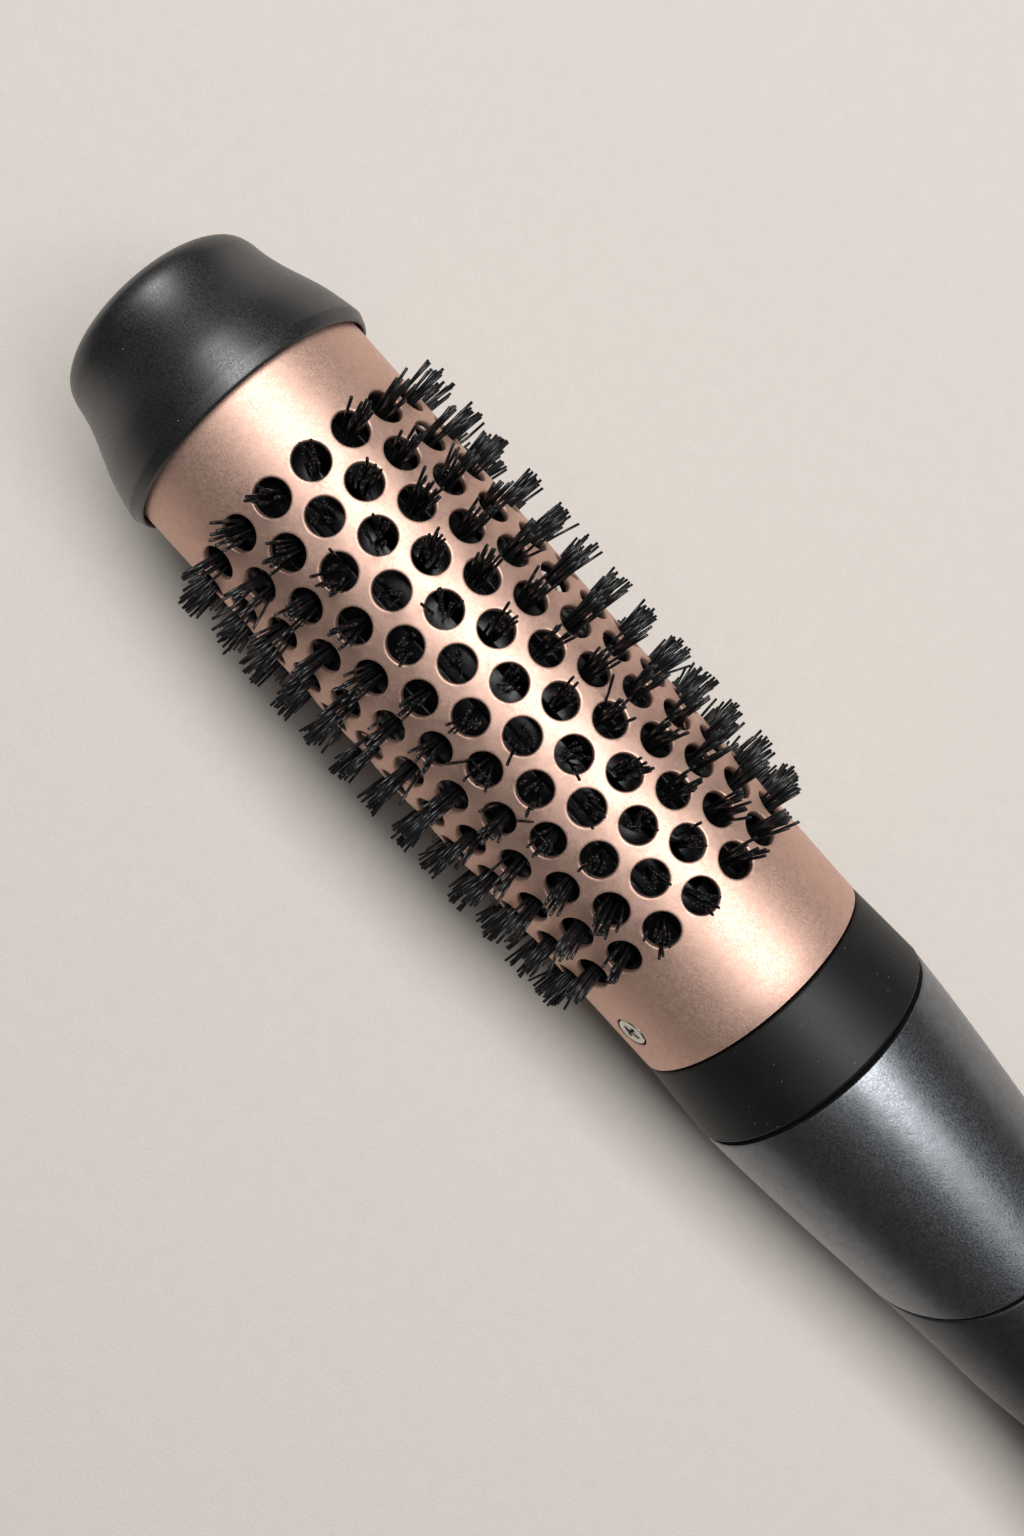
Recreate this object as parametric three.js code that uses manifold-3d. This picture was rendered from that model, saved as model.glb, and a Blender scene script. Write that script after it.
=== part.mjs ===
// A hot air brush: a perforated round styling barrel with nylon tufts and a cool tip, locked by a
// twist ring to a waisted handle that holds the heater, controls, motor and fan.
// Millimetres, +Z up. The brush lies along X with its tip at +X, resting on its tufts and rear housing.
import * as THREE from "three";
import { mergeVertices } from "three/addons/utils/BufferGeometryUtils.js";
import Module from "manifold-3d";

const wasm = await Module();
wasm.setup();

// ---- Driving dimensions -------------------------------------------------------------------------

const CLEARANCE = 0.3; // between pieces that meet
const SEAM_GAP = 0.5; // visible shadow gap between outer casings

// styling barrel and tufts
const BARREL_RADIUS = 19;
const BARREL_WALL = 0.9;
const BARREL_TUCK = 6; // length of barrel hidden inside the cool tip
const ROW_COUNT = 18;
const RING_COUNT = 13;
const RING_PITCH = 5.96;
const RING_STAGGER = THREE.MathUtils.degToRad(5); // each ring of holes sits this far either side of its row
const HOLE_RADIUS = 2.45;
const HOLE_SIDES = 6;
const BLANK_AT_TIP = 12; // unperforated barrel before the first ring of holes
const BLANK_AT_BASE = 17.3; // and after the last one
const TUFT_REACH = 5; // how far the tufts stand out of the barrel
const TUFT_ROOT = 0.4; // half width of a tuft where it is set
const TUFT_END = 1.0; // and at its cut end
const STRIP_WIDTH = 3.8;
const STRIP_HEIGHT = 1.6;
const CORE_RADIUS = 13.6;
const CORE_WALL = 1.2;
const CORE_SLOT = 2.4;
const CORE_SLOTS = ROW_COUNT / 3;
const FLANGE_THICKNESS = 1.2;
const CORE_MARGIN = 3; // between the core's end flange and its first tufts

// cool tip
const TIP_LENGTH = 21;
const TIP_LIP = 1.45; // how far the rim stands over the barrel
const TIP_END_RADIUS = 15.8;
const TIP_WALL = 2.6;
const PLUG_WALL = 3;
const TIP_POST_RADIUS = 3.6;
const SCREW_SHANK = 1.1;
const SCREW_PILOT = 1.45;
const SCREW_HEAD = 2.15;
const SCREW_SIDES = 8;
const COUNTERSINK = 1.1;
const PILOT_SPARE = 3; // pilot hole left empty beyond a screw's end
const BARREL_SCREW_COUNT = 2;
const BARREL_SCREW_ANGLE = THREE.MathUtils.degToRad(65);
const BARREL_SCREW_INSET = 7; // from the barrel's base edge

// twist ring and its bayonet
const RING_LENGTH = 12.6;
const RING_SPREAD = 0.75; // the ring grows this much towards the handle
const RING_WALL = 1.25;
const BASE_TUCK = 13; // length of head base inside the barrel
const LUG_COUNT = 6;
const LUG_WIDTH = THREE.MathUtils.degToRad(26);
const LUG_THICKNESS = 1.6;
const LUG_GRIP = 1.2; // radial overlap of ring lugs and handle lugs
const CLIP_THICKNESS = 0.8;
const CLIP_DEPTH = 0.5;
const BOSS_WALL = 1.3; // of the spigot that carries the handle's lugs

// air nozzle and heater
const NOZZLE_LENGTH = 20; // stands this far out of the handle
const NOZZLE_TAIL = 6;
const NOZZLE_RADIUS = 13.8;
const NOZZLE_WALL = 1.2;
const SEAL_OFFSET = 12; // ahead of the handle's front rim
const SEAL_WIDTH = 1.4;
const SEAL_DEPTH = 0.55;
const SEAL_PLAY = 0.15; // beside and under the seal in its groove
const SEAL_PROUD = 0.1;
const HEATER_START = 7.5;
const HEATER_LENGTH = 42;
const SLEEVE_WALL = 0.5;
const MICA = 0.8;
const COIL_WIRE = 0.5;
const COIL_TURNS = 5;

// handle casing
const HANDLE_LENGTH = 165;
const HANDLE_STEP = 0.15; // the front rim sits this far inside the ring's edge
const WAIST_RADIUS = 14.5;
const WAIST_START = 78;
const WAIST_END = 90;
const FLARE_END = HANDLE_LENGTH - 13;
const TAPER_POWER = 1.35;
const CASING_WALL = 2;
const FRONT_SEAM = 32; // measured on the axis, behind the handle's front rim
const FRONT_SEAM_TILT = THREE.MathUtils.degToRad(21);
const REAR_SEAM = HANDLE_LENGTH - 47;
const REAR_SEAM_TILT = THREE.MathUtils.degToRad(-12);
const COVER_SEAM = HANDLE_LENGTH - 11;
const SHELL_SCREW_STATIONS = [60, 108];
const SHELL_SCREW_OFFSET = 8;
const SHELL_BOSS_RADIUS = 2.9;
const SCREW_RECESS = 2; // depth of a shell screw's head below the end of its boss

// controls
const PANEL_CENTRE = 81;
const PANEL_HALF_LENGTH = 28;
const PANEL_HALF_WIDTH = 8.5;
const PANEL_RECESS = 1.6;
const PANEL_THICKNESS = 1.5;
const PANEL_FLANGE = 1.3;
const PANEL_FLANGE_THICKNESS = 1;
const SLIDER_STATION = 84; // rest position: off
const SLIDER_TRAVEL = 10;
const SLIDER_LENGTH = 10;
const SLIDER_WIDTH = 7;
const STEM_LENGTH = 3.6;
const STEM_WIDTH = 2.3;
const BUTTON_STATION = 98;
const BUTTON_RADIUS = 3.4;
const BUTTON_SIDES = 12;
const BUTTON_STANDS = 1.3;
const BUTTON_TRAVEL = 1.2;
const BOARD_DROP = 9.2; // from the back of the control panel to the circuit board
const BOARD_THICKNESS = 1.2;

// motor, fan and intake
const MOTOR_RADIUS = 12.2;
const MOTOR_LENGTH = 30.8;
const MOTOR_STATION = HANDLE_LENGTH - 51.5;
const MOTOR_WALL = 1;
const MOTOR_SIDES = 12; // of the pieces inside the motor
const ARMATURE_RADIUS = 9;
const ARMATURE_LENGTH = 17;
const SHAFT_RADIUS = 1;
const MOUNT_LENGTH = 18;
const VANE_COUNT = 6;
const VANE_LENGTH = 13;
const VANE_THICKNESS = 1.2;
const BLADE_COUNT = 8;
const BLADE_THICKNESS = 1;
const BLADE_PITCH = THREE.MathUtils.degToRad(40);
const FAN_HUB_RADIUS = 7;
const FAN_RADIUS = 18.5;
const FAN_LENGTH = 7;
const FAN_GAP = 2.5; // between the motor and the impeller
const CORD_ROOM = 4; // between the impeller and the rear frame
const FRAME_THICKNESS = 2;
const SPOKE_COUNT = 4;
const COVER_WALL = 1.8;
const COVER_ROUNDING = 3;
const COVER_SLOTS = 10;
const COVER_SLOT_WIDTH = 2.6;
const COVER_HOLE = 7.6;
const FILTER_THICKNESS = 1;
const GLAND_RADIUS = 6;
const GLAND_BORE = 3.6;
const GLAND_STANDS = 8;
const GLAND_FLANGE = 1.6;
const GLAND_FLANGE_THICKNESS = 0.4;

// ---- Derived places -----------------------------------------------------------------------------
// A station is a distance back from the end of the cool tip.

const SIDES = ROW_COUNT;
const FACET_HALF_ANGLE = Math.PI / SIDES;
const FLATNESS = Math.cos(FACET_HALF_ANGLE); // flat-to-corner ratio of a turned piece

const BARREL_START = TIP_LENGTH;
const FIRST_RING = BARREL_START + BLANK_AT_TIP;
const LAST_RING = FIRST_RING + (RING_COUNT - 1) * RING_PITCH;
const BARREL_END = LAST_RING + BLANK_AT_BASE;
const RING_START = BARREL_END + SEAM_GAP;
const RING_END = RING_START + RING_LENGTH;
const HANDLE_START = RING_END + SEAM_GAP;
const HANDLE_END = HANDLE_START + HANDLE_LENGTH;
const TOTAL_LENGTH = HANDLE_END + GLAND_STANDS;

const TUFT_END_RADIUS = BARREL_RADIUS + TUFT_REACH;
const REST_HEIGHT = TUFT_END_RADIUS * Math.cos(RING_STAGGER) + TUFT_END * Math.sin(RING_STAGGER);
const REAR_RADIUS = REST_HEIGHT / FLATNESS;
const BORE_RADIUS = BARREL_RADIUS - BARREL_WALL;
const RING_RADIUS = BARREL_RADIUS + RING_SPREAD;
const HANDLE_RADIUS = RING_RADIUS - HANDLE_STEP;

// ---- Solids -------------------------------------------------------------------------------------

const atStation = (station) => TOTAL_LENGTH / 2 - station;

// The radius of a bore that a turned piece of the given radius can spin in.
const clearOf = (radius) => radius / FLATNESS + CLEARANCE;

function solid(geometry) {
  const bare = geometry.index ? geometry.toNonIndexed() : geometry.clone();
  bare.deleteAttribute("normal");
  bare.deleteAttribute("uv");
  const merged = mergeVertices(bare, 1e-4);
  const corners = merged.index.array;
  const triangles = [];
  for (let i = 0; i < corners.length; i += 3) {
    const [a, b, c] = [corners[i], corners[i + 1], corners[i + 2]];
    if (a !== b && b !== c && c !== a) triangles.push(a, b, c);
  }
  return new wasm.Manifold(
    new wasm.Mesh({
      numProp: 3,
      vertProperties: merged.attributes.position.array,
      triVerts: new Uint32Array(triangles),
    }),
  );
}

function geometryOf(shape) {
  const { vertProperties, triVerts } = shape.getMesh();
  const geometry = new THREE.BufferGeometry();
  geometry.setAttribute("position", new THREE.BufferAttribute(vertProperties, 3));
  geometry.setIndex(new THREE.BufferAttribute(triVerts, 1));
  geometry.computeVertexNormals();
  return geometry;
}

const join = (shapes) => shapes.reduce((whole, shape) => whole.add(shape));

// A lathe geometry about +Y from [height, radius] points. An outline that leaves the axis is closed.
function lathed(outline, sides) {
  const points = outline.map(([height, radius]) => new THREE.Vector2(radius, height));
  if (THREE.ShapeUtils.area(points) < 0) points.reverse();
  if (points[0].x > 0 || points.at(-1).x > 0) points.push(points[0].clone());
  return new THREE.LatheGeometry(points, sides, Math.PI / sides);
}

// A piece turned about the brush's axis, from [station, radius] points.
function turned(outline, sides = SIDES) {
  const points = outline.map(([station, radius]) => [atStation(station), radius]);
  return solid(lathed(points, sides).rotateZ(-Math.PI / 2));
}

const tube = (from, to, inner, outer, sides) =>
  turned([[from, outer], [to, outer], [to, inner], [from, inner]], sides);

const disc = (from, to, radius, sides) =>
  turned([[from, 0], [from, radius], [to, radius], [to, 0]], sides);

// A small turned piece that points outwards from the axis, from [distance, radius] points.
// Its angle is measured from +Z towards +Y.
function radial(outline, sides, station, angle) {
  const geometry = lathed(outline, sides).rotateX(Math.PI / 2).rotateX(-angle);
  return solid(geometry.translate(atStation(station), 0, 0));
}

// A block between two stations, with its y and z limits.
function block([from, to], [y0, y1], [z0, z1]) {
  const geometry = new THREE.BoxGeometry(to - from, y1 - y0, z1 - z0);
  return solid(geometry.translate(atStation((from + to) / 2), (y0 + y1) / 2, (z0 + z1) / 2));
}

// A rod along Y at a station, between two y limits.
function rod(station, [y0, y1], radius, sides, z = 0) {
  const geometry = new THREE.CylinderGeometry(radius, radius, y1 - y0, sides);
  return solid(geometry.translate(atStation(station), (y0 + y1) / 2, z));
}

// Everything behind a plane that crosses the axis at a station. A positive tilt leans its top back.
function behind(station, tilt = 0) {
  const size = 4 * TOTAL_LENGTH;
  const geometry = new THREE.BoxGeometry(size, size, size).translate(-size / 2, 0, 0);
  return solid(geometry.rotateY(-tilt).translate(atStation(station), 0, 0));
}

// Equal blocks spaced round the axis, each a slice of a ring.
function lugs(from, to, inner, outer, offset) {
  const slices = Array.from({ length: LUG_COUNT }, (_, i) => {
    const middle = offset + (i * 2 * Math.PI) / LUG_COUNT;
    const edges = [-LUG_WIDTH / 2, 0, LUG_WIDTH / 2].map((step) => middle + step);
    const outside = edges.map((a) => new THREE.Vector2(outer * Math.cos(a), outer * Math.sin(a)));
    const inside = edges.map((a) => new THREE.Vector2(inner * Math.cos(a), inner * Math.sin(a)));
    const shape = new THREE.Shape([...outside, ...inside.reverse()]);
    return solid(new THREE.ExtrudeGeometry(shape, { depth: to - from, bevelEnabled: false }));
  });
  const middle = new THREE.Matrix4().makeRotationY(Math.PI / 2).setPosition(atStation(to), 0, 0);
  return join(slices).transform(middle.toArray());
}

// An oval prism along Y over the control panel.
function panelPrism(grow, y0, y1) {
  const shape = new THREE.Shape();
  shape.absellipse(
    atStation(HANDLE_START + PANEL_CENTRE),
    0,
    PANEL_HALF_LENGTH + grow,
    PANEL_HALF_WIDTH + grow,
    0,
    2 * Math.PI,
  );
  const geometry = new THREE.ExtrudeGeometry(shape, {
    depth: y1 - y0,
    bevelEnabled: false,
    curveSegments: 8,
  });
  return solid(geometry.rotateX(-Math.PI / 2).translate(0, y0, 0));
}

// A coil along its own +Z from z = 0, as one swept wire of square section.
function coil(radius, wire, length, turns, stepsPerTurn) {
  class Helix extends THREE.Curve {
    getPoint(t, target = new THREE.Vector3()) {
      const angle = t * turns * 2 * Math.PI;
      return target.set(radius * Math.cos(angle), radius * Math.sin(angle), t * length);
    }
  }
  const corner = wire * Math.SQRT1_2;
  const section = new THREE.Shape([
    new THREE.Vector2(corner, corner),
    new THREE.Vector2(-corner, corner),
    new THREE.Vector2(-corner, -corner),
    new THREE.Vector2(corner, -corner),
  ]);
  return new THREE.ExtrudeGeometry(section, {
    extrudePath: new Helix(),
    steps: turns * stepsPerTurn,
    bevelEnabled: false,
  });
}

// ---- Finishes -----------------------------------------------------------------------------------

const finish = (color, roughness, metalness) =>
  new THREE.MeshStandardMaterial({ color, roughness, metalness });

const ROSE_GOLD = finish(0xc99a86, 0.38, 0.85);
const SOFT_BLACK = finish(0x1d1e20, 0.62, 0);
const NYLON_BLACK = finish(0x0d0d0e, 0.4, 0);
const GUNMETAL = finish(0x56595d, 0.45, 0.7);
const DARK_PLASTIC = finish(0x26282b, 0.55, 0);
const SCREW_STEEL = finish(0xd8d0c2, 0.3, 0.9);
const STEEL = finish(0x9a9c9f, 0.35, 0.9);
const MICA_BOARD = finish(0xb9a98a, 0.7, 0);
const NICHROME = finish(0x8c8782, 0.4, 0.9);
const SILICONE = finish(0x3a3c3f, 0.7, 0);
const BOARD_GREEN = finish(0x1f5a3a, 0.6, 0);
const COPPER = finish(0xa8623a, 0.4, 0.9);
const FAN_GREY = finish(0x6d7073, 0.55, 0);

function part(name, shape, material) {
  const mesh = new THREE.Mesh(geometryOf(shape), material);
  mesh.name = name;
  return mesh;
}

// ---- Handle casing profile ----------------------------------------------------------------------

// Outer radius of the handle, a distance behind its front rim: a taper to the waist, then a flare.
function handleRadius(distance) {
  if (distance <= WAIST_START) {
    const t = Math.max(distance, 0) / WAIST_START;
    const share = Math.sin((t * Math.PI) / 2) ** TAPER_POWER;
    return THREE.MathUtils.lerp(HANDLE_RADIUS, WAIST_RADIUS, share);
  }
  const flare = THREE.MathUtils.smoothstep(distance, WAIST_END, FLARE_END);
  return THREE.MathUtils.lerp(WAIST_RADIUS, REAR_RADIUS, flare);
}

// A layer of the handle between two depths below its outer surface.
function handleLayer(from, to, depth, thickness, steps) {
  const stations = Array.from({ length: steps + 1 }, (_, i) => from + ((to - from) * i) / steps);
  const at = (distance, below) => [HANDLE_START + distance, handleRadius(distance) - below];
  const outside = stations.map((distance) => at(distance, depth));
  const inside = stations.map((distance) => at(distance, depth + thickness)).reverse();
  return turned([...outside, ...inside]);
}

// ---- Styling head -------------------------------------------------------------------------------

const head = new THREE.Group();

function coolTip() {
  const cup = BARREL_RADIUS + CLEARANCE;
  const rim = BARREL_RADIUS + TIP_LIP;
  const floor = BARREL_START - BARREL_TUCK - CLEARANCE;
  const hollow = TIP_END_RADIUS - TIP_WALL;
  const waist = (share) => THREE.MathUtils.lerp(TIP_END_RADIUS, rim, share);
  return turned([
    [0, 0],
    [0, waist(-0.43)],
    [0.9, waist(-0.1)],
    [3, waist(0.03)],
    [7, waist(0.17)],
    [10.5, waist(0.42)],
    [14.5, waist(0.77)],
    [TIP_LENGTH - 2.6, waist(0.97)],
    [TIP_LENGTH - 0.9, rim],
    [TIP_LENGTH, cup + 0.45],
    [TIP_LENGTH, cup],
    [floor, cup],
    [floor, hollow],
    [TIP_WALL, hollow],
    [TIP_WALL, TIP_POST_RADIUS],
    [floor, TIP_POST_RADIUS],
    [floor, SCREW_PILOT],
    [TIP_WALL, SCREW_PILOT],
    [TIP_WALL, 0],
  ]);
}

const PLUG_START = BARREL_START - BARREL_TUCK + CLEARANCE;
const CORE_START = FIRST_RING - TUFT_ROOT - FLANGE_THICKNESS - CORE_MARGIN;
const CORE_END = BARREL_END - BASE_TUCK - CLEARANCE;
const FIT_IN_BORE = BORE_RADIUS - CLEARANCE;

function tipPlug() {
  const skirt = FIT_IN_BORE - CORE_WALL;
  return turned([
    [PLUG_START, FIT_IN_BORE],
    [CORE_START - CLEARANCE, FIT_IN_BORE],
    [CORE_START - CLEARANCE, skirt],
    [PLUG_START + PLUG_WALL, skirt],
    [PLUG_START + PLUG_WALL, SCREW_PILOT],
    [PLUG_START, SCREW_PILOT],
  ]);
}

function tipScrew() {
  const headStart = PLUG_START + PLUG_WALL + CLEARANCE;
  return turned([
    [TIP_WALL + PILOT_SPARE, 0],
    [TIP_WALL + PILOT_SPARE, SCREW_SHANK],
    [headStart, SCREW_SHANK],
    [headStart, SCREW_HEAD],
    [headStart + COUNTERSINK, SCREW_HEAD],
    [headStart + COUNTERSINK, 0],
  ], SCREW_SIDES);
}

const screwStation = BARREL_END - BARREL_SCREW_INSET;
const screwAngles = Array.from(
  { length: BARREL_SCREW_COUNT },
  (_, i) => BARREL_SCREW_ANGLE + (i * 2 * Math.PI) / BARREL_SCREW_COUNT,
);

function barrel() {
  const whole = tube(BARREL_START - BARREL_TUCK, BARREL_END, BORE_RADIUS, BARREL_RADIUS);
  const inside = BORE_RADIUS - 1;
  const outside = BARREL_RADIUS + 1;
  const drill = (radius, sides, station, angle) => {
    const outline = [[inside, 0], [inside, radius], [outside, radius], [outside, 0]];
    return radial(outline, sides, station, angle);
  };
  const holes = [];
  for (let ring = 0; ring < RING_COUNT; ring++) {
    const station = FIRST_RING + ring * RING_PITCH;
    const stagger = ring % 2 ? RING_STAGGER : -RING_STAGGER;
    for (let row = 0; row < ROW_COUNT; row++) {
      const angle = stagger + (row * 2 * Math.PI) / ROW_COUNT;
      holes.push(drill(HOLE_RADIUS, HOLE_SIDES, station, angle));
    }
  }
  for (const angle of screwAngles) {
    holes.push(drill(SCREW_HEAD + CLEARANCE, SCREW_SIDES, screwStation, angle));
  }
  return whole.subtract(join(holes));
}

function bristleCore() {
  const bore = CORE_RADIUS - CORE_WALL;
  const tubeWithFlanges = turned([
    [CORE_START, FIT_IN_BORE],
    [CORE_START + FLANGE_THICKNESS, FIT_IN_BORE],
    [CORE_START + FLANGE_THICKNESS, CORE_RADIUS],
    [CORE_END - FLANGE_THICKNESS, CORE_RADIUS],
    [CORE_END - FLANGE_THICKNESS, FIT_IN_BORE],
    [CORE_END, FIT_IN_BORE],
    [CORE_END, bore],
    [CORE_START, bore],
  ]);
  const from = CORE_START + 3 * FLANGE_THICKNESS;
  const to = CORE_END - 3 * FLANGE_THICKNESS;
  const slots = Array.from({ length: CORE_SLOTS }, (_, i) => {
    const slot = new THREE.BoxGeometry(to - from, CORE_SLOT, CORE_RADIUS);
    slot.translate(atStation((from + to) / 2), 0, CORE_RADIUS);
    return solid(slot.rotateX(FACET_HALF_ANGLE + (i * 2 * Math.PI) / CORE_SLOTS));
  });
  return tubeWithFlanges.subtract(join(slots));
}

// One strip of tufts. The tufts lean a little to either side in turn, so each stands in its hole.
function bristleStrip() {
  const foot = CORE_RADIUS * FLATNESS + CLEARANCE;
  const top = foot + STRIP_HEIGHT;
  const ends = [CORE_START + FLANGE_THICKNESS + CLEARANCE, CORE_END - FLANGE_THICKNESS - CLEARANCE];
  const bar = block(ends, [-STRIP_WIDTH / 2, STRIP_WIDTH / 2], [foot, top]);
  const root = foot + STRIP_HEIGHT / 2;
  const tufts = Array.from({ length: RING_COUNT }, (_, ring) => {
    const tuft = new THREE.BoxGeometry(2, 2, TUFT_END_RADIUS - root);
    const corners = tuft.getAttribute("position");
    for (let i = 0; i < corners.count; i++) {
      const half = corners.getZ(i) > 0 ? TUFT_END : TUFT_ROOT;
      corners.setXY(i, corners.getX(i) * half, corners.getY(i) * half);
    }
    tuft.translate(0, 0, (TUFT_END_RADIUS + root) / 2).rotateX(ring % 2 ? -RING_STAGGER : RING_STAGGER);
    return solid(tuft.translate(atStation(FIRST_RING + ring * RING_PITCH), 0, 0));
  });
  return bar.add(join(tufts));
}

// The head base carries the barrel and the twist ring, and slides over the handle's nozzle.
const NOZZLE_BORE = NOZZLE_RADIUS + CLEARANCE;
const RING_BORE = BARREL_RADIUS * FLATNESS - RING_WALL;
const BASE_RADIUS = (RING_BORE - CLEARANCE) * FLATNESS;
const CLIP_RADIUS = RING_BORE + CLIP_DEPTH;
const RELIEF_RADIUS = clearOf(CLIP_RADIUS);
const BOSS_RADIUS = NOZZLE_BORE + BOSS_WALL;
const RING_LUG_RADIUS = clearOf(BOSS_RADIUS);
const HANDLE_LUG_RADIUS = RING_LUG_RADIUS + LUG_GRIP;
const BOSS_START = RING_END - 2 * LUG_THICKNESS - CLEARANCE;
const BASE_END = BOSS_START - SEAM_GAP;
const CLIP_START = BASE_END - 2 * CLIP_THICKNESS - CLEARANCE;
const CLIP_END = CLIP_START + CLIP_THICKNESS;
const SINK_FLOOR = FIT_IN_BORE - COUNTERSINK;

function headBase() {
  const groove = BASE_RADIUS - 2 * CLIP_DEPTH;
  const body = turned([
    [BARREL_END - BASE_TUCK, FIT_IN_BORE],
    [BARREL_END, FIT_IN_BORE],
    [BARREL_END, BASE_RADIUS],
    [CLIP_START - CLEARANCE, BASE_RADIUS],
    [CLIP_START - CLEARANCE, groove],
    [CLIP_END + CLEARANCE, groove],
    [CLIP_END + CLEARANCE, BASE_RADIUS],
    [BASE_END, BASE_RADIUS],
    [BASE_END, NOZZLE_BORE],
    [BARREL_END - BASE_TUCK, NOZZLE_BORE],
  ]);
  const outline = [
    [NOZZLE_BORE - 1, 0],
    [NOZZLE_BORE - 1, SCREW_PILOT],
    [SINK_FLOOR, SCREW_PILOT],
    [SINK_FLOOR, SCREW_HEAD + CLEARANCE],
    [BARREL_RADIUS, SCREW_HEAD + CLEARANCE],
    [BARREL_RADIUS, 0],
  ];
  return screwAngles.reduce(
    (left, angle) => left.subtract(radial(outline, SCREW_SIDES, screwStation, angle)),
    body,
  );
}

function barrelScrew(angle) {
  const face = BARREL_RADIUS * FLATNESS;
  return radial([
    [NOZZLE_BORE + CLEARANCE, 0],
    [NOZZLE_BORE + CLEARANCE, SCREW_SHANK],
    [SINK_FLOOR + CLEARANCE, SCREW_SHANK],
    [face - CLEARANCE, SCREW_HEAD],
    [face, SCREW_HEAD],
    [face, 0],
  ], SCREW_SIDES, screwStation, angle);
}

head.add(
  part("cool_tip", coolTip(), SOFT_BLACK),
  part("tip_plug", tipPlug(), DARK_PLASTIC),
  part("tip_screw", tipScrew(), SCREW_STEEL),
  part("barrel", barrel(), ROSE_GOLD),
  part("bristle_core", bristleCore(), DARK_PLASTIC),
  part("head_base", headBase(), DARK_PLASTIC),
  part("ring_clip", tube(CLIP_START, CLIP_END, BASE_RADIUS - CLIP_DEPTH, CLIP_RADIUS), STEEL),
);
screwAngles.forEach((angle, i) => {
  head.add(part(`barrel_screw_${i + 1}`, barrelScrew(angle), SCREW_STEEL));
});
const strip = bristleStrip();
for (let row = 0; row < ROW_COUNT; row++) {
  const mesh = part(`bristle_strip_${String(row + 1).padStart(2, "0")}`, strip, NYLON_BLACK);
  mesh.rotation.x = -(row * 2 * Math.PI) / ROW_COUNT;
  head.add(mesh);
}

// ---- Twist ring ---------------------------------------------------------------------------------

function twistRing() {
  const frontChamfer = 0.2;
  const rearChamfer = 0.5;
  const lugRoot = RELIEF_RADIUS + 0.2;
  const body = turned([
    [RING_START, BARREL_RADIUS - frontChamfer],
    [RING_START + frontChamfer, BARREL_RADIUS],
    [RING_END - rearChamfer, RING_RADIUS],
    [RING_END, RING_RADIUS - rearChamfer],
    [RING_END, RELIEF_RADIUS],
    [CLIP_START - CLEARANCE, RELIEF_RADIUS],
    [CLIP_START - CLEARANCE, RING_BORE],
    [RING_START, RING_BORE],
  ]);
  return body.add(lugs(RING_END - LUG_THICKNESS, RING_END, RING_LUG_RADIUS, lugRoot, 0));
}

const ring = part("twist_ring", twistRing(), SOFT_BLACK);

// ---- Handle front: casing, nozzle and heater ----------------------------------------------------

const handle = new THREE.Group();
const NOZZLE_START = HANDLE_START - NOZZLE_LENGTH;
const NOZZLE_INNER = NOZZLE_RADIUS - NOZZLE_WALL;
const FRONT_WALL = 2.5;

function frontCasing() {
  const rimChamfer = 0.4;
  const deepest = FRONT_SEAM + HANDLE_RADIUS * Math.tan(FRONT_SEAM_TILT);
  const steps = 4;
  const distances = Array.from({ length: steps }, (_, i) => (deepest * (i + 1)) / steps);
  const outside = distances.map((d) => [HANDLE_START + d, handleRadius(d)]);
  const inside = distances.map((d) => [HANDLE_START + d, handleRadius(d) - CASING_WALL]);
  const lugRoot = NOZZLE_BORE + 0.6;
  const body = turned([
    [HANDLE_START, HANDLE_RADIUS - rimChamfer],
    [HANDLE_START + rimChamfer, HANDLE_RADIUS],
    ...outside,
    ...inside.reverse(),
    [HANDLE_START + FRONT_WALL, handleRadius(FRONT_WALL) - CASING_WALL],
    [HANDLE_START + FRONT_WALL, NOZZLE_BORE],
    [BOSS_START, NOZZLE_BORE],
    [BOSS_START, BOSS_RADIUS],
    [HANDLE_START, BOSS_RADIUS],
  ]);
  const bayonet = lugs(
    BOSS_START,
    BOSS_START + LUG_THICKNESS,
    lugRoot,
    HANDLE_LUG_RADIUS,
    Math.PI / LUG_COUNT,
  );
  return body.add(bayonet).subtract(behind(HANDLE_START + FRONT_SEAM, FRONT_SEAM_TILT));
}

const SEAL_STATION = HANDLE_START - SEAL_OFFSET;

function nozzle() {
  const collar = NOZZLE_BORE + 0.9;
  const collarStart = HANDLE_START + FRONT_WALL + CLEARANCE;
  const grooveEdge = SEAL_WIDTH / 2 + SEAL_PLAY;
  return turned([
    [NOZZLE_START, NOZZLE_RADIUS - 0.5],
    [NOZZLE_START + 0.8, NOZZLE_RADIUS],
    [SEAL_STATION - grooveEdge, NOZZLE_RADIUS],
    [SEAL_STATION - grooveEdge, NOZZLE_RADIUS - SEAL_DEPTH],
    [SEAL_STATION + grooveEdge, NOZZLE_RADIUS - SEAL_DEPTH],
    [SEAL_STATION + grooveEdge, NOZZLE_RADIUS],
    [collarStart, NOZZLE_RADIUS],
    [collarStart, collar],
    [HANDLE_START + NOZZLE_TAIL, collar],
    [HANDLE_START + NOZZLE_TAIL, NOZZLE_INNER],
    [NOZZLE_START, NOZZLE_INNER],
  ]);
}

function outletGrille() {
  const outer = NOZZLE_INNER - CLEARANCE;
  const inner = outer - 1.1;
  const from = NOZZLE_START + 1;
  const depth = 1.8;
  const bar = 0.55;
  const span = [-inner - 0.5, inner + 0.5];
  const bars = [
    block([from, from + depth], [-bar, bar], span),
    block([from, from + depth], span, [-bar, bar]),
  ];
  return tube(from, from + depth, inner, outer, 12).add(join(bars));
}

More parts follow.
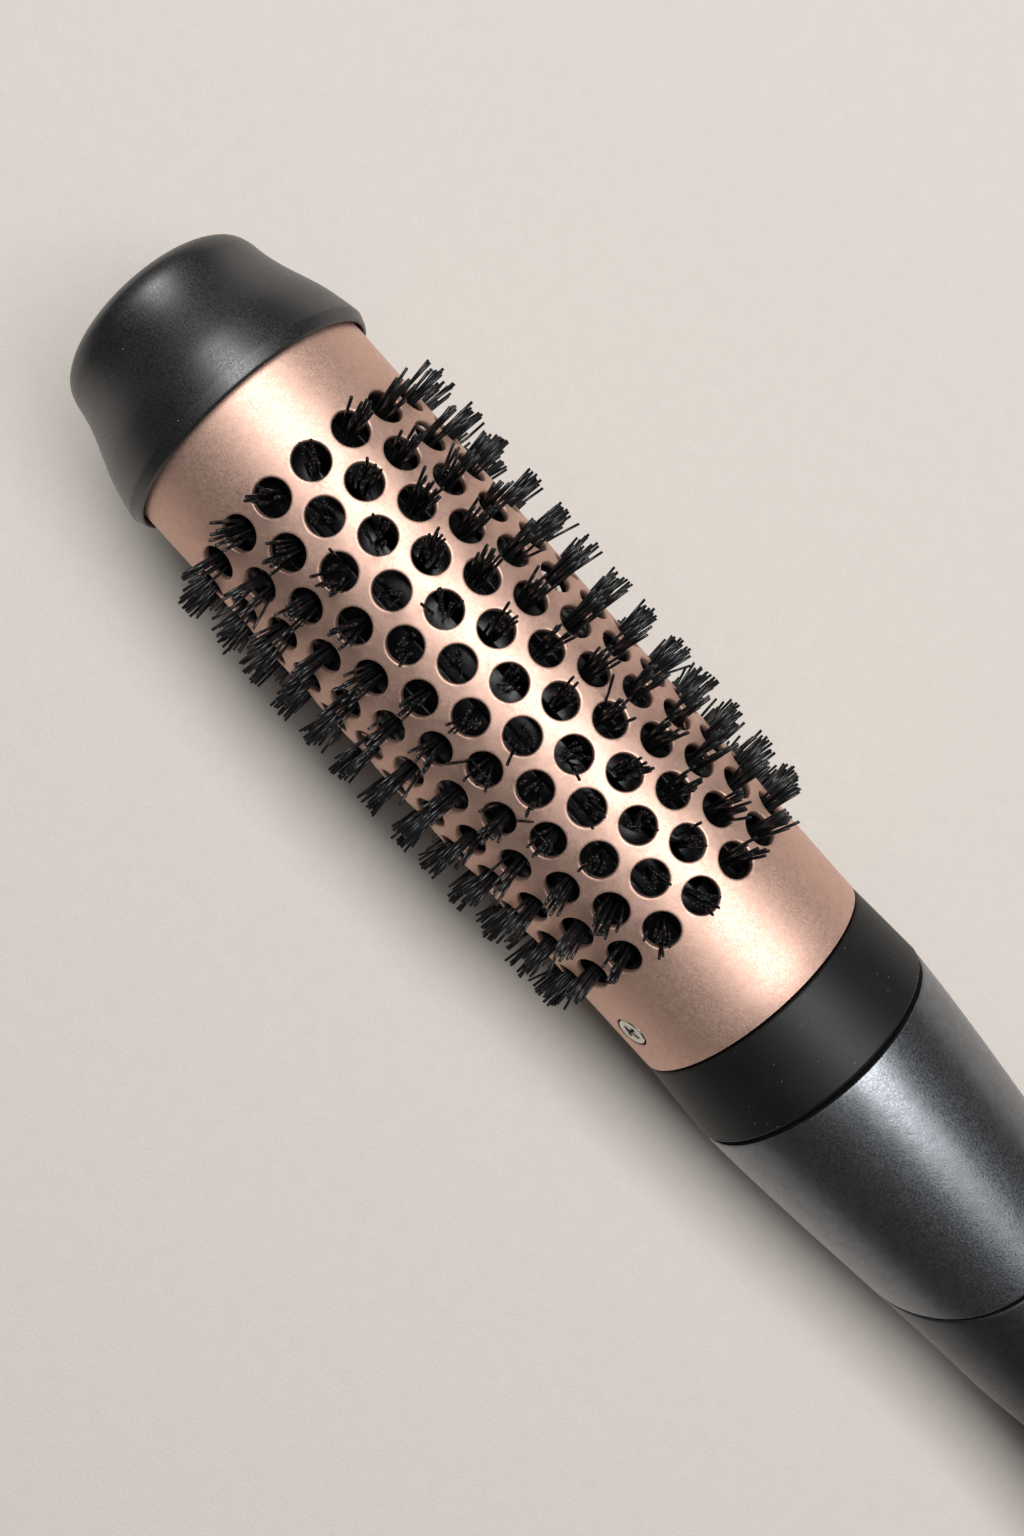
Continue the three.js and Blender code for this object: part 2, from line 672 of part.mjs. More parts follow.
const heaterFrom = HANDLE_START + HEATER_START;
const heaterTo = heaterFrom + HEATER_LENGTH;
const SLEEVE_RADIUS = Math.min(NOZZLE_RADIUS, WAIST_RADIUS) - CASING_WALL;
const SLEEVE_INNER = (SLEEVE_RADIUS - SLEEVE_WALL) * FLATNESS - CLEARANCE;
const COIL_RADIUS = SLEEVE_INNER - 2 * COIL_WIRE - 1;
const COIL_STEPS = 8; // straight wires per turn
const FRAME_HALF = COIL_RADIUS * Math.cos(Math.PI / COIL_STEPS) - COIL_WIRE - CLEARANCE;

function heaterFrame() {
  const shoulder = 3;
  const outline = new THREE.Shape([
    new THREE.Vector2(0, -SLEEVE_INNER),
    new THREE.Vector2(shoulder, -SLEEVE_INNER),
    new THREE.Vector2(shoulder, -FRAME_HALF),
    new THREE.Vector2(HEATER_LENGTH - shoulder, -FRAME_HALF),
    new THREE.Vector2(HEATER_LENGTH - shoulder, -SLEEVE_INNER),
    new THREE.Vector2(HEATER_LENGTH, -SLEEVE_INNER),
    new THREE.Vector2(HEATER_LENGTH, SLEEVE_INNER),
    new THREE.Vector2(HEATER_LENGTH - shoulder, SLEEVE_INNER),
    new THREE.Vector2(HEATER_LENGTH - shoulder, FRAME_HALF),
    new THREE.Vector2(shoulder, FRAME_HALF),
    new THREE.Vector2(shoulder, SLEEVE_INNER),
    new THREE.Vector2(0, SLEEVE_INNER),
  ]);
  const plate = new THREE.ExtrudeGeometry(outline, { depth: MICA, bevelEnabled: false });
  plate.translate(atStation(heaterTo), 0, -MICA / 2);
  return solid(plate).add(solid(plate.rotateX(Math.PI / 2)));
}

function heaterCoil() {
  const margin = 5;
  const length = HEATER_LENGTH - 2 * margin;
  const wound = coil(COIL_RADIUS, COIL_WIRE, length, COIL_TURNS, COIL_STEPS);
  return solid(wound.rotateY(Math.PI / 2).translate(atStation(heaterTo - margin), 0, 0));
}

// The cut-out and the fuse sit inside the coil, each in a corner of the crossed frame.
const cornerFrom = MICA / 2 + CLEARANCE;
const cutoutTo = FRAME_HALF * Math.SQRT1_2;
const fuseTo = 0.8 * cutoutTo;
const cutoutCorner = [cornerFrom, cutoutTo];
const fuseCorner = [-fuseTo, -cornerFrom];
const thermalCutout = block([heaterFrom + 4, heaterFrom + 12], cutoutCorner, cutoutCorner);
const thermalFuse = block([heaterFrom + 16, heaterFrom + 27], fuseCorner, fuseCorner);

const nozzleSeal = tube(
  SEAL_STATION - SEAL_WIDTH / 2,
  SEAL_STATION + SEAL_WIDTH / 2,
  NOZZLE_RADIUS - SEAL_DEPTH + SEAL_PLAY,
  NOZZLE_RADIUS + SEAL_PROUD,
);
const heaterSleeve = tube(heaterFrom, heaterTo, SLEEVE_RADIUS - SLEEVE_WALL, SLEEVE_RADIUS);

handle.add(
  part("front_casing", frontCasing(), GUNMETAL),
  part("nozzle", nozzle(), DARK_PLASTIC),
  part("nozzle_seal", nozzleSeal, SILICONE),
  part("outlet_grille", outletGrille(), STEEL),
  part("heater_sleeve", heaterSleeve, MICA_BOARD),
  part("heater_frame", heaterFrame(), MICA_BOARD),
  part("heater_coil", heaterCoil(), NICHROME),
  part("thermal_cutout", thermalCutout, STEEL),
  part("thermal_fuse", thermalFuse, STEEL),
);

// ---- Grip shells and controls -------------------------------------------------------------------

const GRIP_BORE = (WAIST_RADIUS - CASING_WALL) * FLATNESS;

// How far from the seam a screw boss reaches before it is inside the shell's wall.
function bossDepth(distance) {
  const reach = handleRadius(distance) - CASING_WALL / 2;
  return Math.sqrt(reach ** 2 - (SHELL_SCREW_OFFSET + SHELL_BOSS_RADIUS) ** 2);
}

function gripShells() {
  const from = FRONT_SEAM - HANDLE_RADIUS * Math.tan(FRONT_SEAM_TILT);
  const to = REAR_SEAM - REAR_RADIUS * Math.tan(REAR_SEAM_TILT);
  const whole = handleLayer(from, to, 0, CASING_WALL, 8)
    .intersect(behind(HANDLE_START + FRONT_SEAM + SEAM_GAP, FRONT_SEAM_TILT))
    .subtract(behind(HANDLE_START + REAR_SEAM, REAR_SEAM_TILT))
    .subtract(panelPrism(0, 0, 2 * WAIST_RADIUS));
  const half = CLEARANCE / 2;
  const span = [0, TOTAL_LENGTH];
  const width = [-2 * REAR_RADIUS, 2 * REAR_RADIUS];
  let upper = whole.intersect(block(span, width, [half, 2 * REAR_RADIUS]));
  let lower = whole.intersect(block(span, width, [-2 * REAR_RADIUS, -half]));
  for (const distance of SHELL_SCREW_STATIONS) {
    const station = HANDLE_START + distance;
    const depth = bossDepth(distance);
    const post = (from, to, radius) => {
      const pillar = new THREE.CylinderGeometry(radius, radius, to - from, SCREW_SIDES);
      pillar.rotateX(Math.PI / 2);
      return solid(pillar.translate(atStation(station), -SHELL_SCREW_OFFSET, (from + to) / 2));
    };
    upper = upper
      .add(post(half, depth, SHELL_BOSS_RADIUS))
      .subtract(post(0, depth - SCREW_RECESS / 2, SCREW_PILOT));
    lower = lower
      .add(post(-depth, -half, SHELL_BOSS_RADIUS))
      .subtract(post(-2 * REAR_RADIUS, 0, SCREW_PILOT))
      .subtract(post(-2 * REAR_RADIUS, -depth + SCREW_RECESS, SCREW_HEAD + CLEARANCE));
  }
  return { upper, lower };
}

function shellScrew(distance) {
  const depth = bossDepth(distance);
  const headTop = -depth + SCREW_RECESS - CLEARANCE;
  const end = depth - SCREW_RECESS;
  const outline = [
    [headTop - COUNTERSINK, 0],
    [headTop - COUNTERSINK, SCREW_HEAD],
    [headTop, SCREW_HEAD],
    [headTop, SCREW_SHANK],
    [end, SCREW_SHANK],
    [end, 0],
  ];
  const screw = lathed(outline, SCREW_SIDES).rotateX(Math.PI / 2);
  return solid(screw.translate(atStation(HANDLE_START + distance), -SHELL_SCREW_OFFSET, 0));
}

const panelFace = WAIST_RADIUS - PANEL_RECESS;
const panelBack = panelFace - PANEL_THICKNESS;
const sliderStation = HANDLE_START + SLIDER_STATION;
const buttonStation = HANDLE_START + BUTTON_STATION;
const flangeDepth = CASING_WALL + CLEARANCE;

function controlPanel() {
  const reach = PANEL_HALF_LENGTH + 2 * PANEL_FLANGE;
  const ends = [PANEL_CENTRE - reach, PANEL_CENTRE + reach];
  const steps = 5;
  const face = handleLayer(...ends, PANEL_RECESS, PANEL_THICKNESS, steps)
    .intersect(panelPrism(-CLEARANCE, 0, 2 * WAIST_RADIUS));
  const flange = handleLayer(...ends, flangeDepth, PANEL_FLANGE_THICKNESS, steps)
    .intersect(panelPrism(PANEL_FLANGE, 0, 2 * WAIST_RADIUS));
  const slotEnds = [
    sliderStation - SLIDER_TRAVEL - STEM_LENGTH / 2 - CLEARANCE,
    sliderStation + STEM_LENGTH / 2 + CLEARANCE,
  ];
  const half = STEM_WIDTH / 2 + CLEARANCE;
  return face
    .add(flange)
    .subtract(block(slotEnds, [0, 2 * WAIST_RADIUS], [-half, half]))
    .subtract(rod(buttonStation, [0, 2 * WAIST_RADIUS], BUTTON_RADIUS + CLEARANCE, BUTTON_SIDES));
}

const boardTop = panelBack - BOARD_DROP;
const boardHalf = GRIP_BORE - 3.5;
const slideSwitchMargin = 6;
const circuitBoard = block(
  [sliderStation - SLIDER_TRAVEL - slideSwitchMargin - 4, buttonStation + 6],
  [boardTop - BOARD_THICKNESS, boardTop],
  [-boardHalf, boardHalf],
);
const stemFoot = panelBack - 1.6;
const slideSwitch = block(
  [sliderStation - SLIDER_TRAVEL - slideSwitchMargin, sliderStation + slideSwitchMargin - 1],
  [boardTop + CLEARANCE, stemFoot - CLEARANCE],
  [-SLIDER_WIDTH / 2, SLIDER_WIDTH / 2],
);

// The knob rides on the panel, with its stem through the slot and a foot that keeps it in.
function speedSlider() {
  const foremost = SLIDER_STATION - SLIDER_TRAVEL - SLIDER_LENGTH / 2;
  const bottom = handleRadius(foremost) - PANEL_RECESS + CLEARANCE;
  const top = WAIST_RADIUS + 0.6;
  const footEdge = 1;
  const footThickness = 0.7;
  const groovePitch = 2.6;
  const grooveHalf = 0.5;
  const centred = (length, heights, width) =>
    block([sliderStation - length / 2, sliderStation + length / 2], heights, [-width / 2, width / 2]);
  const grooves = [-1, 0, 1].map((i) => {
    const middle = sliderStation + i * groovePitch;
    const floor = top - grooveHalf;
    return block([middle - grooveHalf, middle + grooveHalf], [floor, top + 1], [-SLIDER_WIDTH, SLIDER_WIDTH]);
  });
  const foot = [stemFoot, stemFoot + footThickness];
  return centred(SLIDER_LENGTH, [bottom, top], SLIDER_WIDTH)
    .subtract(join(grooves))
    .add(centred(STEM_LENGTH, [stemFoot, bottom + footThickness], STEM_WIDTH))
    .add(centred(STEM_LENGTH + 2 * footEdge, foot, STEM_WIDTH + 2 * footEdge));
}

const buttonFace = handleRadius(BUTTON_STATION) - PANEL_RECESS + BUTTON_STANDS;
const buttonFoot = panelBack - 3;
const coolSwitchTop = buttonFoot - 2 * CLEARANCE - 2.6 * BUTTON_TRAVEL;
const coolSwitchHalf = 3;
const coolSwitch = block(
  [buttonStation - coolSwitchHalf, buttonStation + coolSwitchHalf],
  [boardTop + CLEARANCE, coolSwitchTop],
  [-coolSwitchHalf, coolSwitchHalf],
);

// The flange round its foot keeps the button under the panel.
function coolButton() {
  const flangeRadius = BUTTON_RADIUS + 0.8;
  const flangeTop = buttonFoot + 0.9;
  const outline = [
    [buttonFoot, 0],
    [buttonFoot, flangeRadius],
    [flangeTop, flangeRadius],
    [flangeTop, BUTTON_RADIUS],
    [buttonFace - 0.4, BUTTON_RADIUS],
    [buttonFace, BUTTON_RADIUS - 0.5],
    [buttonFace, 0],
  ];
  return solid(lathed(outline, BUTTON_SIDES).translate(atStation(buttonStation), 0, 0));
}

function coolSpring() {
  const wire = 0.3;
  const radius = 2.2;
  const turns = 3;
  const from = coolSwitchTop + CLEARANCE + wire;
  const length = buttonFoot - CLEARANCE - wire - from;
  const wound = coil(radius, wire, length, turns, 2 * turns).rotateX(-Math.PI / 2);
  return solid(wound.translate(atStation(buttonStation), from, 0));
}

const { upper, lower } = gripShells();
handle.add(
  part("grip_upper", upper, GUNMETAL),
  part("grip_lower", lower, GUNMETAL),
  part("control_panel", controlPanel(), DARK_PLASTIC),
  part("circuit_board", circuitBoard, BOARD_GREEN),
  part("slide_switch", slideSwitch, DARK_PLASTIC),
  part("cool_switch", coolSwitch, DARK_PLASTIC),
  part("cool_spring", coolSpring(), STEEL),
);
SHELL_SCREW_STATIONS.forEach((distance, i) => {
  handle.add(part(`shell_screw_${i + 1}`, shellScrew(distance), SCREW_STEEL));
});
const slider = part("speed_slider", speedSlider(), SOFT_BLACK);
const button = part("cool_button", coolButton(), SOFT_BLACK);

// ---- Motor, fan and intake ----------------------------------------------------------------------

const motorFrom = HANDLE_START + MOTOR_STATION;
const motorTo = motorFrom + MOTOR_LENGTH;
const coverStart = HANDLE_START + COVER_SEAM + SEAM_GAP;
const shaftHole = SHAFT_RADIUS / Math.cos(Math.PI / MOTOR_SIDES) + CLEARANCE;
const fanFrom = motorTo + FAN_GAP;
const fanTo = fanFrom + FAN_LENGTH;
const frameFrom = fanTo + CORD_ROOM;
const frameTo = frameFrom + FRAME_THICKNESS;

function motorHousing() {
  const from = REAR_SEAM + REAR_RADIUS * Math.tan(REAR_SEAM_TILT);
  return handleLayer(from, COVER_SEAM, 0, CASING_WALL, 6)
    .intersect(behind(HANDLE_START + REAR_SEAM + SEAM_GAP, REAR_SEAM_TILT));
}

// The largest radius that fits inside the casing at a station.
const insideCasing = (station) => handleRadius(station - HANDLE_START) - CASING_WALL - CLEARANCE;

// The motor sits in a ring held by vanes that straighten the air.
function motorMount() {
  const grip = clearOf(MOTOR_RADIUS) + 1.4;
  const root = MOTOR_RADIUS + 1;
  const vaneFrom = motorTo - VANE_LENGTH;
  const vaneMiddle = motorTo - VANE_LENGTH / 2;
  const ring = tube(motorTo - MOUNT_LENGTH, motorTo, MOTOR_RADIUS + CLEARANCE, grip);
  const inside = turned([
    ...[vaneFrom, vaneMiddle, motorTo].map((station) => [station, insideCasing(station)]),
    [motorTo, root],
    [vaneFrom, root],
  ]);
  const vanes = Array.from({ length: VANE_COUNT }, (_, i) => {
    const vane = new THREE.BoxGeometry(VANE_LENGTH, VANE_THICKNESS, REAR_RADIUS);
    vane.translate(atStation(vaneMiddle), 0, root + REAR_RADIUS / 2);
    return solid(vane.rotateX((i * 2 * Math.PI) / VANE_COUNT));
  });
  return ring.add(join(vanes).intersect(inside));
}

const motorInner = MOTOR_RADIUS - MOTOR_WALL;
const capFrom = motorFrom + 0.6;
const capTo = motorFrom + 3;
const motorCan = turned([
  [motorFrom, MOTOR_RADIUS],
  [motorTo, MOTOR_RADIUS],
  [motorTo, shaftHole],
  [motorTo - MOTOR_WALL, shaftHole],
  [motorTo - MOTOR_WALL, motorInner],
  [motorFrom, motorInner],
]);
const motorCap = turned([
  [capFrom, motorInner - CLEARANCE],
  [capTo, motorInner - CLEARANCE],
  [capTo, shaftHole],
  [capFrom, shaftHole],
], MOTOR_SIDES);
const armatureFrom = (motorFrom + motorTo - ARMATURE_LENGTH) / 2;
const armature = tube(
  armatureFrom,
  armatureFrom + ARMATURE_LENGTH,
  shaftHole,
  ARMATURE_RADIUS,
  MOTOR_SIDES,
);
const motorShaft = disc(motorFrom + 1, fanTo - 1, SHAFT_RADIUS, SCREW_SIDES);

// The impeller's blades are pitched, and stand on a hub pressed on the motor's shaft.
function impeller() {
  const hubFloor = fanTo - 0.7;
  const bladeInset = 0.4;
  const bladeRoot = FAN_HUB_RADIUS - 1;
  const hub = turned([
    [fanFrom, FAN_HUB_RADIUS],
    [fanTo, FAN_HUB_RADIUS],
    [fanTo, 0],
    [hubFloor, 0],
    [hubFloor, shaftHole],
    [fanFrom, shaftHole],
  ], MOTOR_SIDES);
  const inside = tube(fanFrom + bladeInset, fanTo - bladeInset, bladeRoot, FAN_RADIUS, MOTOR_SIDES);
  const blades = Array.from({ length: BLADE_COUNT }, (_, i) => {
    const blade = new THREE.BoxGeometry(3 * FAN_LENGTH, BLADE_THICKNESS, FAN_RADIUS);
    blade.rotateZ(BLADE_PITCH);
    blade.translate(atStation((fanFrom + fanTo) / 2), 0, bladeRoot + FAN_RADIUS / 2);
    return solid(blade.rotateX((i * 2 * Math.PI) / BLADE_COUNT)).intersect(inside);
  });
  return hub.add(join(blades));
}

// The rear frame closes the housing and holds the cord gland in its hub.
const glandNeck = GLAND_RADIUS - 1;

function rearFrame() {
  const rim = insideCasing(motorTo);
  const rimInner = rim - 1;
  const bore = clearOf(glandNeck);
  const hub = bore + FRAME_THICKNESS;
  const spokes = Array.from({ length: SPOKE_COUNT }, (_, i) => {
    const spoke = new THREE.BoxGeometry(FRAME_THICKNESS, FRAME_THICKNESS, rim - hub);
    spoke.translate(atStation((frameFrom + frameTo) / 2), 0, (rimInner + hub) / 2);
    return solid(spoke.rotateX(((i + 0.5) * 2 * Math.PI) / SPOKE_COUNT));
  });
  return tube(motorTo + CLEARANCE, frameTo, rimInner, rim)
    .add(tube(frameFrom, frameTo, bore, hub))
    .add(join(spokes));
}

function cordGland() {
  const flangeTo = frameFrom - CLEARANCE;
  const flangeFrom = flangeTo - GLAND_FLANGE_THICKNESS;
  const chamfer = 0.9;
  return turned([
    [flangeFrom, glandNeck + GLAND_FLANGE],
    [flangeTo, glandNeck + GLAND_FLANGE],
    [flangeTo, glandNeck],
    [frameTo + CLEARANCE, glandNeck],
    [frameTo + CLEARANCE, GLAND_RADIUS],
    [TOTAL_LENGTH - chamfer, GLAND_RADIUS],
    [TOTAL_LENGTH, GLAND_RADIUS - chamfer],
    [TOTAL_LENGTH, GLAND_BORE],
    [flangeFrom, GLAND_BORE],
  ]);
}

function intakeCover() {
  const lip = REAR_RADIUS - COVER_WALL;
  const floor = HANDLE_END - COVER_WALL;
  const body = turned([
    [coverStart, REAR_RADIUS],
    [HANDLE_END - COVER_ROUNDING, REAR_RADIUS],
    [HANDLE_END - COVER_ROUNDING / 3, REAR_RADIUS - COVER_ROUNDING / 3],
    [HANDLE_END, REAR_RADIUS - COVER_ROUNDING],
    [HANDLE_END, COVER_HOLE],
    [floor, COVER_HOLE],
    [floor, lip],
    [coverStart, lip],
  ]);
  const slotFrom = COVER_HOLE + 2.4;
  const slotTo = REAR_RADIUS - COVER_ROUNDING - 1.5;
  const slots = Array.from({ length: COVER_SLOTS }, (_, i) => {
    const slot = new THREE.BoxGeometry(4 * COVER_WALL, COVER_SLOT_WIDTH, slotTo - slotFrom);
    slot.translate(atStation(HANDLE_END), 0, (slotFrom + slotTo) / 2);
    return solid(slot.rotateX((i * 2 * Math.PI) / COVER_SLOTS));
  });
  return slots.reduce((left, slot) => left.subtract(slot), body);
}

const filterTo = HANDLE_END - COVER_WALL - CLEARANCE;
const intakeFilter = tube(
  filterTo - FILTER_THICKNESS,
  filterTo,
  COVER_HOLE,
  REAR_RADIUS - COVER_WALL - CLEARANCE,
);

handle.add(
  part("motor_housing", motorHousing(), GUNMETAL),
  part("motor_mount", motorMount(), DARK_PLASTIC),
  part("motor_can", motorCan, STEEL),
  part("motor_cap", motorCap, DARK_PLASTIC),
  part("rear_frame", rearFrame(), DARK_PLASTIC),
);
const rotor = new THREE.Group();
rotor.add(
  part("motor_shaft", motorShaft, STEEL),
  part("armature", armature, COPPER),
  part("impeller", impeller(), FAN_GREY),
);
const gland = part("cord_gland", cordGland(), SOFT_BLACK);
const cover = new THREE.Group();
cover.add(part("intake_cover", intakeCover(), DARK_PLASTIC), part("intake_filter", intakeFilter, STEEL));

// ---- The brush, lying on its tufts and rear housing ---------------------------------------------

const brush = new THREE.Group();
brush.add(head, ring, handle, slider, button, rotor, gland, cover);
brush.position.z = REST_HEIGHT;

export default brush;
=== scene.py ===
import math
import random

import bmesh
import bpy
from mathutils import Matrix, Vector


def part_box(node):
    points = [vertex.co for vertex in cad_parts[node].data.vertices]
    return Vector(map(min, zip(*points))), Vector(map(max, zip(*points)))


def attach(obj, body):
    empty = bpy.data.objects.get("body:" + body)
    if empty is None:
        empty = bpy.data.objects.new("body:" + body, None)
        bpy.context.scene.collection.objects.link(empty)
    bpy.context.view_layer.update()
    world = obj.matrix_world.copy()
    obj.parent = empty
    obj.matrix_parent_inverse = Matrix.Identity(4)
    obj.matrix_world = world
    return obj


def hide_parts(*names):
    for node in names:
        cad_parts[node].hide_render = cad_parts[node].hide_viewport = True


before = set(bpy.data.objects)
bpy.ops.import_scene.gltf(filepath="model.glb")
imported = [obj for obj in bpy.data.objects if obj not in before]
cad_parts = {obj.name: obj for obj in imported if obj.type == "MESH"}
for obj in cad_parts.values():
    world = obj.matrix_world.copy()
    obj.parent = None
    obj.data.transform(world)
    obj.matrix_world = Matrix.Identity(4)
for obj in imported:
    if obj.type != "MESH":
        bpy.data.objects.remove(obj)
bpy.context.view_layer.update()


# ---- Table, light and camera --------------------------------------------------------------------
# The brush lies on a pale paper-covered table under a long soft light a little to one side, with a wide
# faint one on the ceiling. The camera looks almost straight down, and turned so that the brush slants.

MM = 0.001
AXIS_Z = sum(corner.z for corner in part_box("barrel")) / 2
TIP_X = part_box("cool_tip")[1].x


def mesh_from(shape, name):
    """Turns a shape into mesh data, and frees it."""
    data = bpy.data.meshes.new(name)
    shape.to_mesh(data)
    shape.free()
    return data


def new_material(name, roughness, metallic):
    material = bpy.data.materials.new(name)
    material.use_nodes = True
    shader = material.node_tree.nodes["Principled BSDF"]
    shader.inputs["Roughness"].default_value = roughness
    shader.inputs["Metallic"].default_value = metallic
    return material, shader


def add_node(tree, kind, **values):
    node = tree.nodes.new(kind)
    for key, value in values.items():
        if key in node.inputs:
            node.inputs[key].default_value = value
        else:
            setattr(node, key, value)
    return node


def new_group(name, inputs, outputs):
    """A node group that takes a vector and some values, with its input and output nodes."""
    tree = bpy.data.node_groups.new(name, "ShaderNodeTree")
    tree.interface.new_socket("Vector", in_out="INPUT", socket_type="NodeSocketVector")
    for label in inputs:
        tree.interface.new_socket(label, in_out="INPUT", socket_type="NodeSocketFloat")
    for label, kind in outputs:
        tree.interface.new_socket(label, in_out="OUTPUT", socket_type=kind)
    return tree, tree.nodes.new("NodeGroupInput"), tree.nodes.new("NodeGroupOutput")


def grain_group():
    """Fine surface grain: a normal from small noise, and a slow tone that varies over the piece."""
    tree, source, result = new_group(
        "surface_grain", ("Grain Scale", "Grain Depth", "Tone Scale"),
        (("Normal", "NodeSocketVector"), ("Grain", "NodeSocketFloat"), ("Tone", "NodeSocketFloat")),
    )
    grain = add_node(tree, "ShaderNodeTexNoise", Detail=2.5, Roughness=0.55)
    tone = add_node(tree, "ShaderNodeTexNoise", Detail=4.0, Roughness=0.6)
    bump = add_node(tree, "ShaderNodeBump", Strength=1.0)
    link = tree.links.new
    link(source.outputs["Vector"], grain.inputs["Vector"])
    link(source.outputs["Vector"], tone.inputs["Vector"])
    link(source.outputs["Grain Scale"], grain.inputs["Scale"])
    link(source.outputs["Tone Scale"], tone.inputs["Scale"])
    link(source.outputs["Grain Depth"], bump.inputs["Distance"])
    link(grain.outputs["Fac"], bump.inputs["Height"])
    link(bump.outputs["Normal"], result.inputs["Normal"])
    link(grain.outputs["Fac"], result.inputs["Grain"])
    link(tone.outputs["Fac"], result.inputs["Tone"])
    return tree


def speck_group():
    """A sparse scatter of tiny specks: 1 on a speck and 0 elsewhere."""
    tree, source, result = new_group(
        "scattered_specks", ("Speck Scale", "Speck Size", "Speck Share"), (("Mask", "NodeSocketFloat"),),
    )
    cells = add_node(tree, "ShaderNodeTexVoronoi")
    near = add_node(tree, "ShaderNodeMath", operation="LESS_THAN")
    chosen = add_node(tree, "ShaderNodeMath", operation="LESS_THAN")
    split = tree.nodes.new("ShaderNodeSeparateColor")
    both = add_node(tree, "ShaderNodeMath", operation="MULTIPLY")
    link = tree.links.new
    link(source.outputs["Vector"], cells.inputs["Vector"])
    link(source.outputs["Speck Scale"], cells.inputs["Scale"])
    link(cells.outputs["Distance"], near.inputs[0])
    link(source.outputs["Speck Size"], near.inputs[1])
    link(cells.outputs["Color"], split.inputs["Color"])
    link(split.outputs["Red"], chosen.inputs[0])
    link(source.outputs["Speck Share"], chosen.inputs[1])
    link(near.outputs["Value"], both.inputs[0])
    link(chosen.outputs["Value"], both.inputs[1])
    link(both.outputs["Value"], result.inputs["Mask"])
    return tree


SURFACE_GRAIN = grain_group()
SCATTERED_SPECKS = speck_group()
NOISE_SPAN = {"From Min": 0.3, "From Max": 0.7}


def grained_material(name, dark, light, roughness, metallic, grain_mm, depth_mm, tone_mm, rough_spread):
    """A finish with fine grain in its normal and roughness, and two close tones in its colour."""
    material, shader = new_material(name, roughness, metallic)
    tree = material.node_tree
    link = tree.links.new
    coordinates = tree.nodes.new("ShaderNodeTexCoord")
    grain = add_node(tree, "ShaderNodeGroup", node_tree=SURFACE_GRAIN)
    grain.inputs["Grain Scale"].default_value = 1 / (grain_mm * MM)
    grain.inputs["Grain Depth"].default_value = depth_mm * MM
    grain.inputs["Tone Scale"].default_value = 1 / (tone_mm * MM)
    colours = tree.nodes.new("ShaderNodeMix")
    colours.data_type = "RGBA"
    colours.inputs["A"].default_value = (*dark, 1)
    colours.inputs["B"].default_value = (*light, 1)
    stretch = add_node(tree, "ShaderNodeMapRange", **NOISE_SPAN)
    spread = add_node(tree, "ShaderNodeMapRange", **NOISE_SPAN)
    spread.inputs["To Min"].default_value = roughness - rough_spread
    spread.inputs["To Max"].default_value = roughness + rough_spread
    link(coordinates.outputs["Object"], grain.inputs["Vector"])
    link(grain.outputs["Tone"], stretch.inputs["Value"])
    link(stretch.outputs["Result"], colours.inputs["Factor"])
    link(colours.outputs["Result"], shader.inputs["Base Color"])
    link(grain.outputs["Grain"], spread.inputs["Value"])
    link(spread.outputs["Result"], shader.inputs["Roughness"])
    link(grain.outputs["Normal"], shader.inputs["Normal"])
    return material


def add_specks(material, colour, speck_mm, size, share):
    """Puts specks of another colour over a finish."""
    tree = material.node_tree
    shader = tree.nodes["Principled BSDF"]
    coordinates = tree.nodes["Texture Coordinate"]
    under = shader.inputs["Base Color"].links[0].from_socket
    specks = add_node(tree, "ShaderNodeGroup", node_tree=SCATTERED_SPECKS)
    specks.inputs["Speck Scale"].default_value = 1 / (speck_mm * MM)
    specks.inputs["Speck Size"].default_value = size
    specks.inputs["Speck Share"].default_value = share
    over = tree.nodes.new("ShaderNodeMix")
    over.data_type = "RGBA"
    over.inputs["B"].default_value = (*colour, 1)
    link = tree.links.new
    link(coordinates.outputs["Object"], specks.inputs["Vector"])
    link(specks.outputs["Mask"], over.inputs["Factor"])
    link(under, over.inputs["A"])
    link(over.outputs["Result"], shader.inputs["Base Color"])


TABLE_HALF = 3.0
table_mesh = bmesh.new()
bmesh.ops.create_grid(table_mesh, x_segments=1, y_segments=1, size=TABLE_HALF)
table = bpy.data.objects.new("table", mesh_from(table_mesh, "table"))
bpy.context.scene.collection.objects.link(table)
table.data.materials.append(grained_material(
    "table_paper", (0.535, 0.488, 0.445), (0.552, 0.505, 0.462), 0.85, 0.0, 0.6, 0.10, 3.0, 0.03,
))

CAMERA_AIM = Vector((76.0, 5.2, 24.0)) * MM
CAMERA_DISTANCE = 169.5 * MM
CAMERA_TILT = math.radians(4.43)
CAMERA_ROLL = math.radians(-42)
SENSOR_HEIGHT = 36
FOCAL_LENGTH = 28.69
NEAREST_SEEN = 0.005
forward = Vector((-math.sin(CAMERA_TILT), 0, -math.cos(CAMERA_TILT)))
sideways = forward.cross(Vector((math.cos(CAMERA_ROLL), math.sin(CAMERA_ROLL), 0))).normalized()
turn = Matrix((sideways, sideways.cross(forward), -forward)).transposed().to_4x4()
camera_data = bpy.data.cameras.new("camera")
camera_data.sensor_fit = "VERTICAL"
camera_data.sensor_height = SENSOR_HEIGHT
camera_data.lens = FOCAL_LENGTH
camera_data.clip_start = NEAREST_SEEN
camera = bpy.data.objects.new("camera", camera_data)
camera.matrix_world = Matrix.Translation(CAMERA_AIM - forward * CAMERA_DISTANCE) @ turn
bpy.context.scene.collection.objects.link(camera)
bpy.context.scene.camera = camera


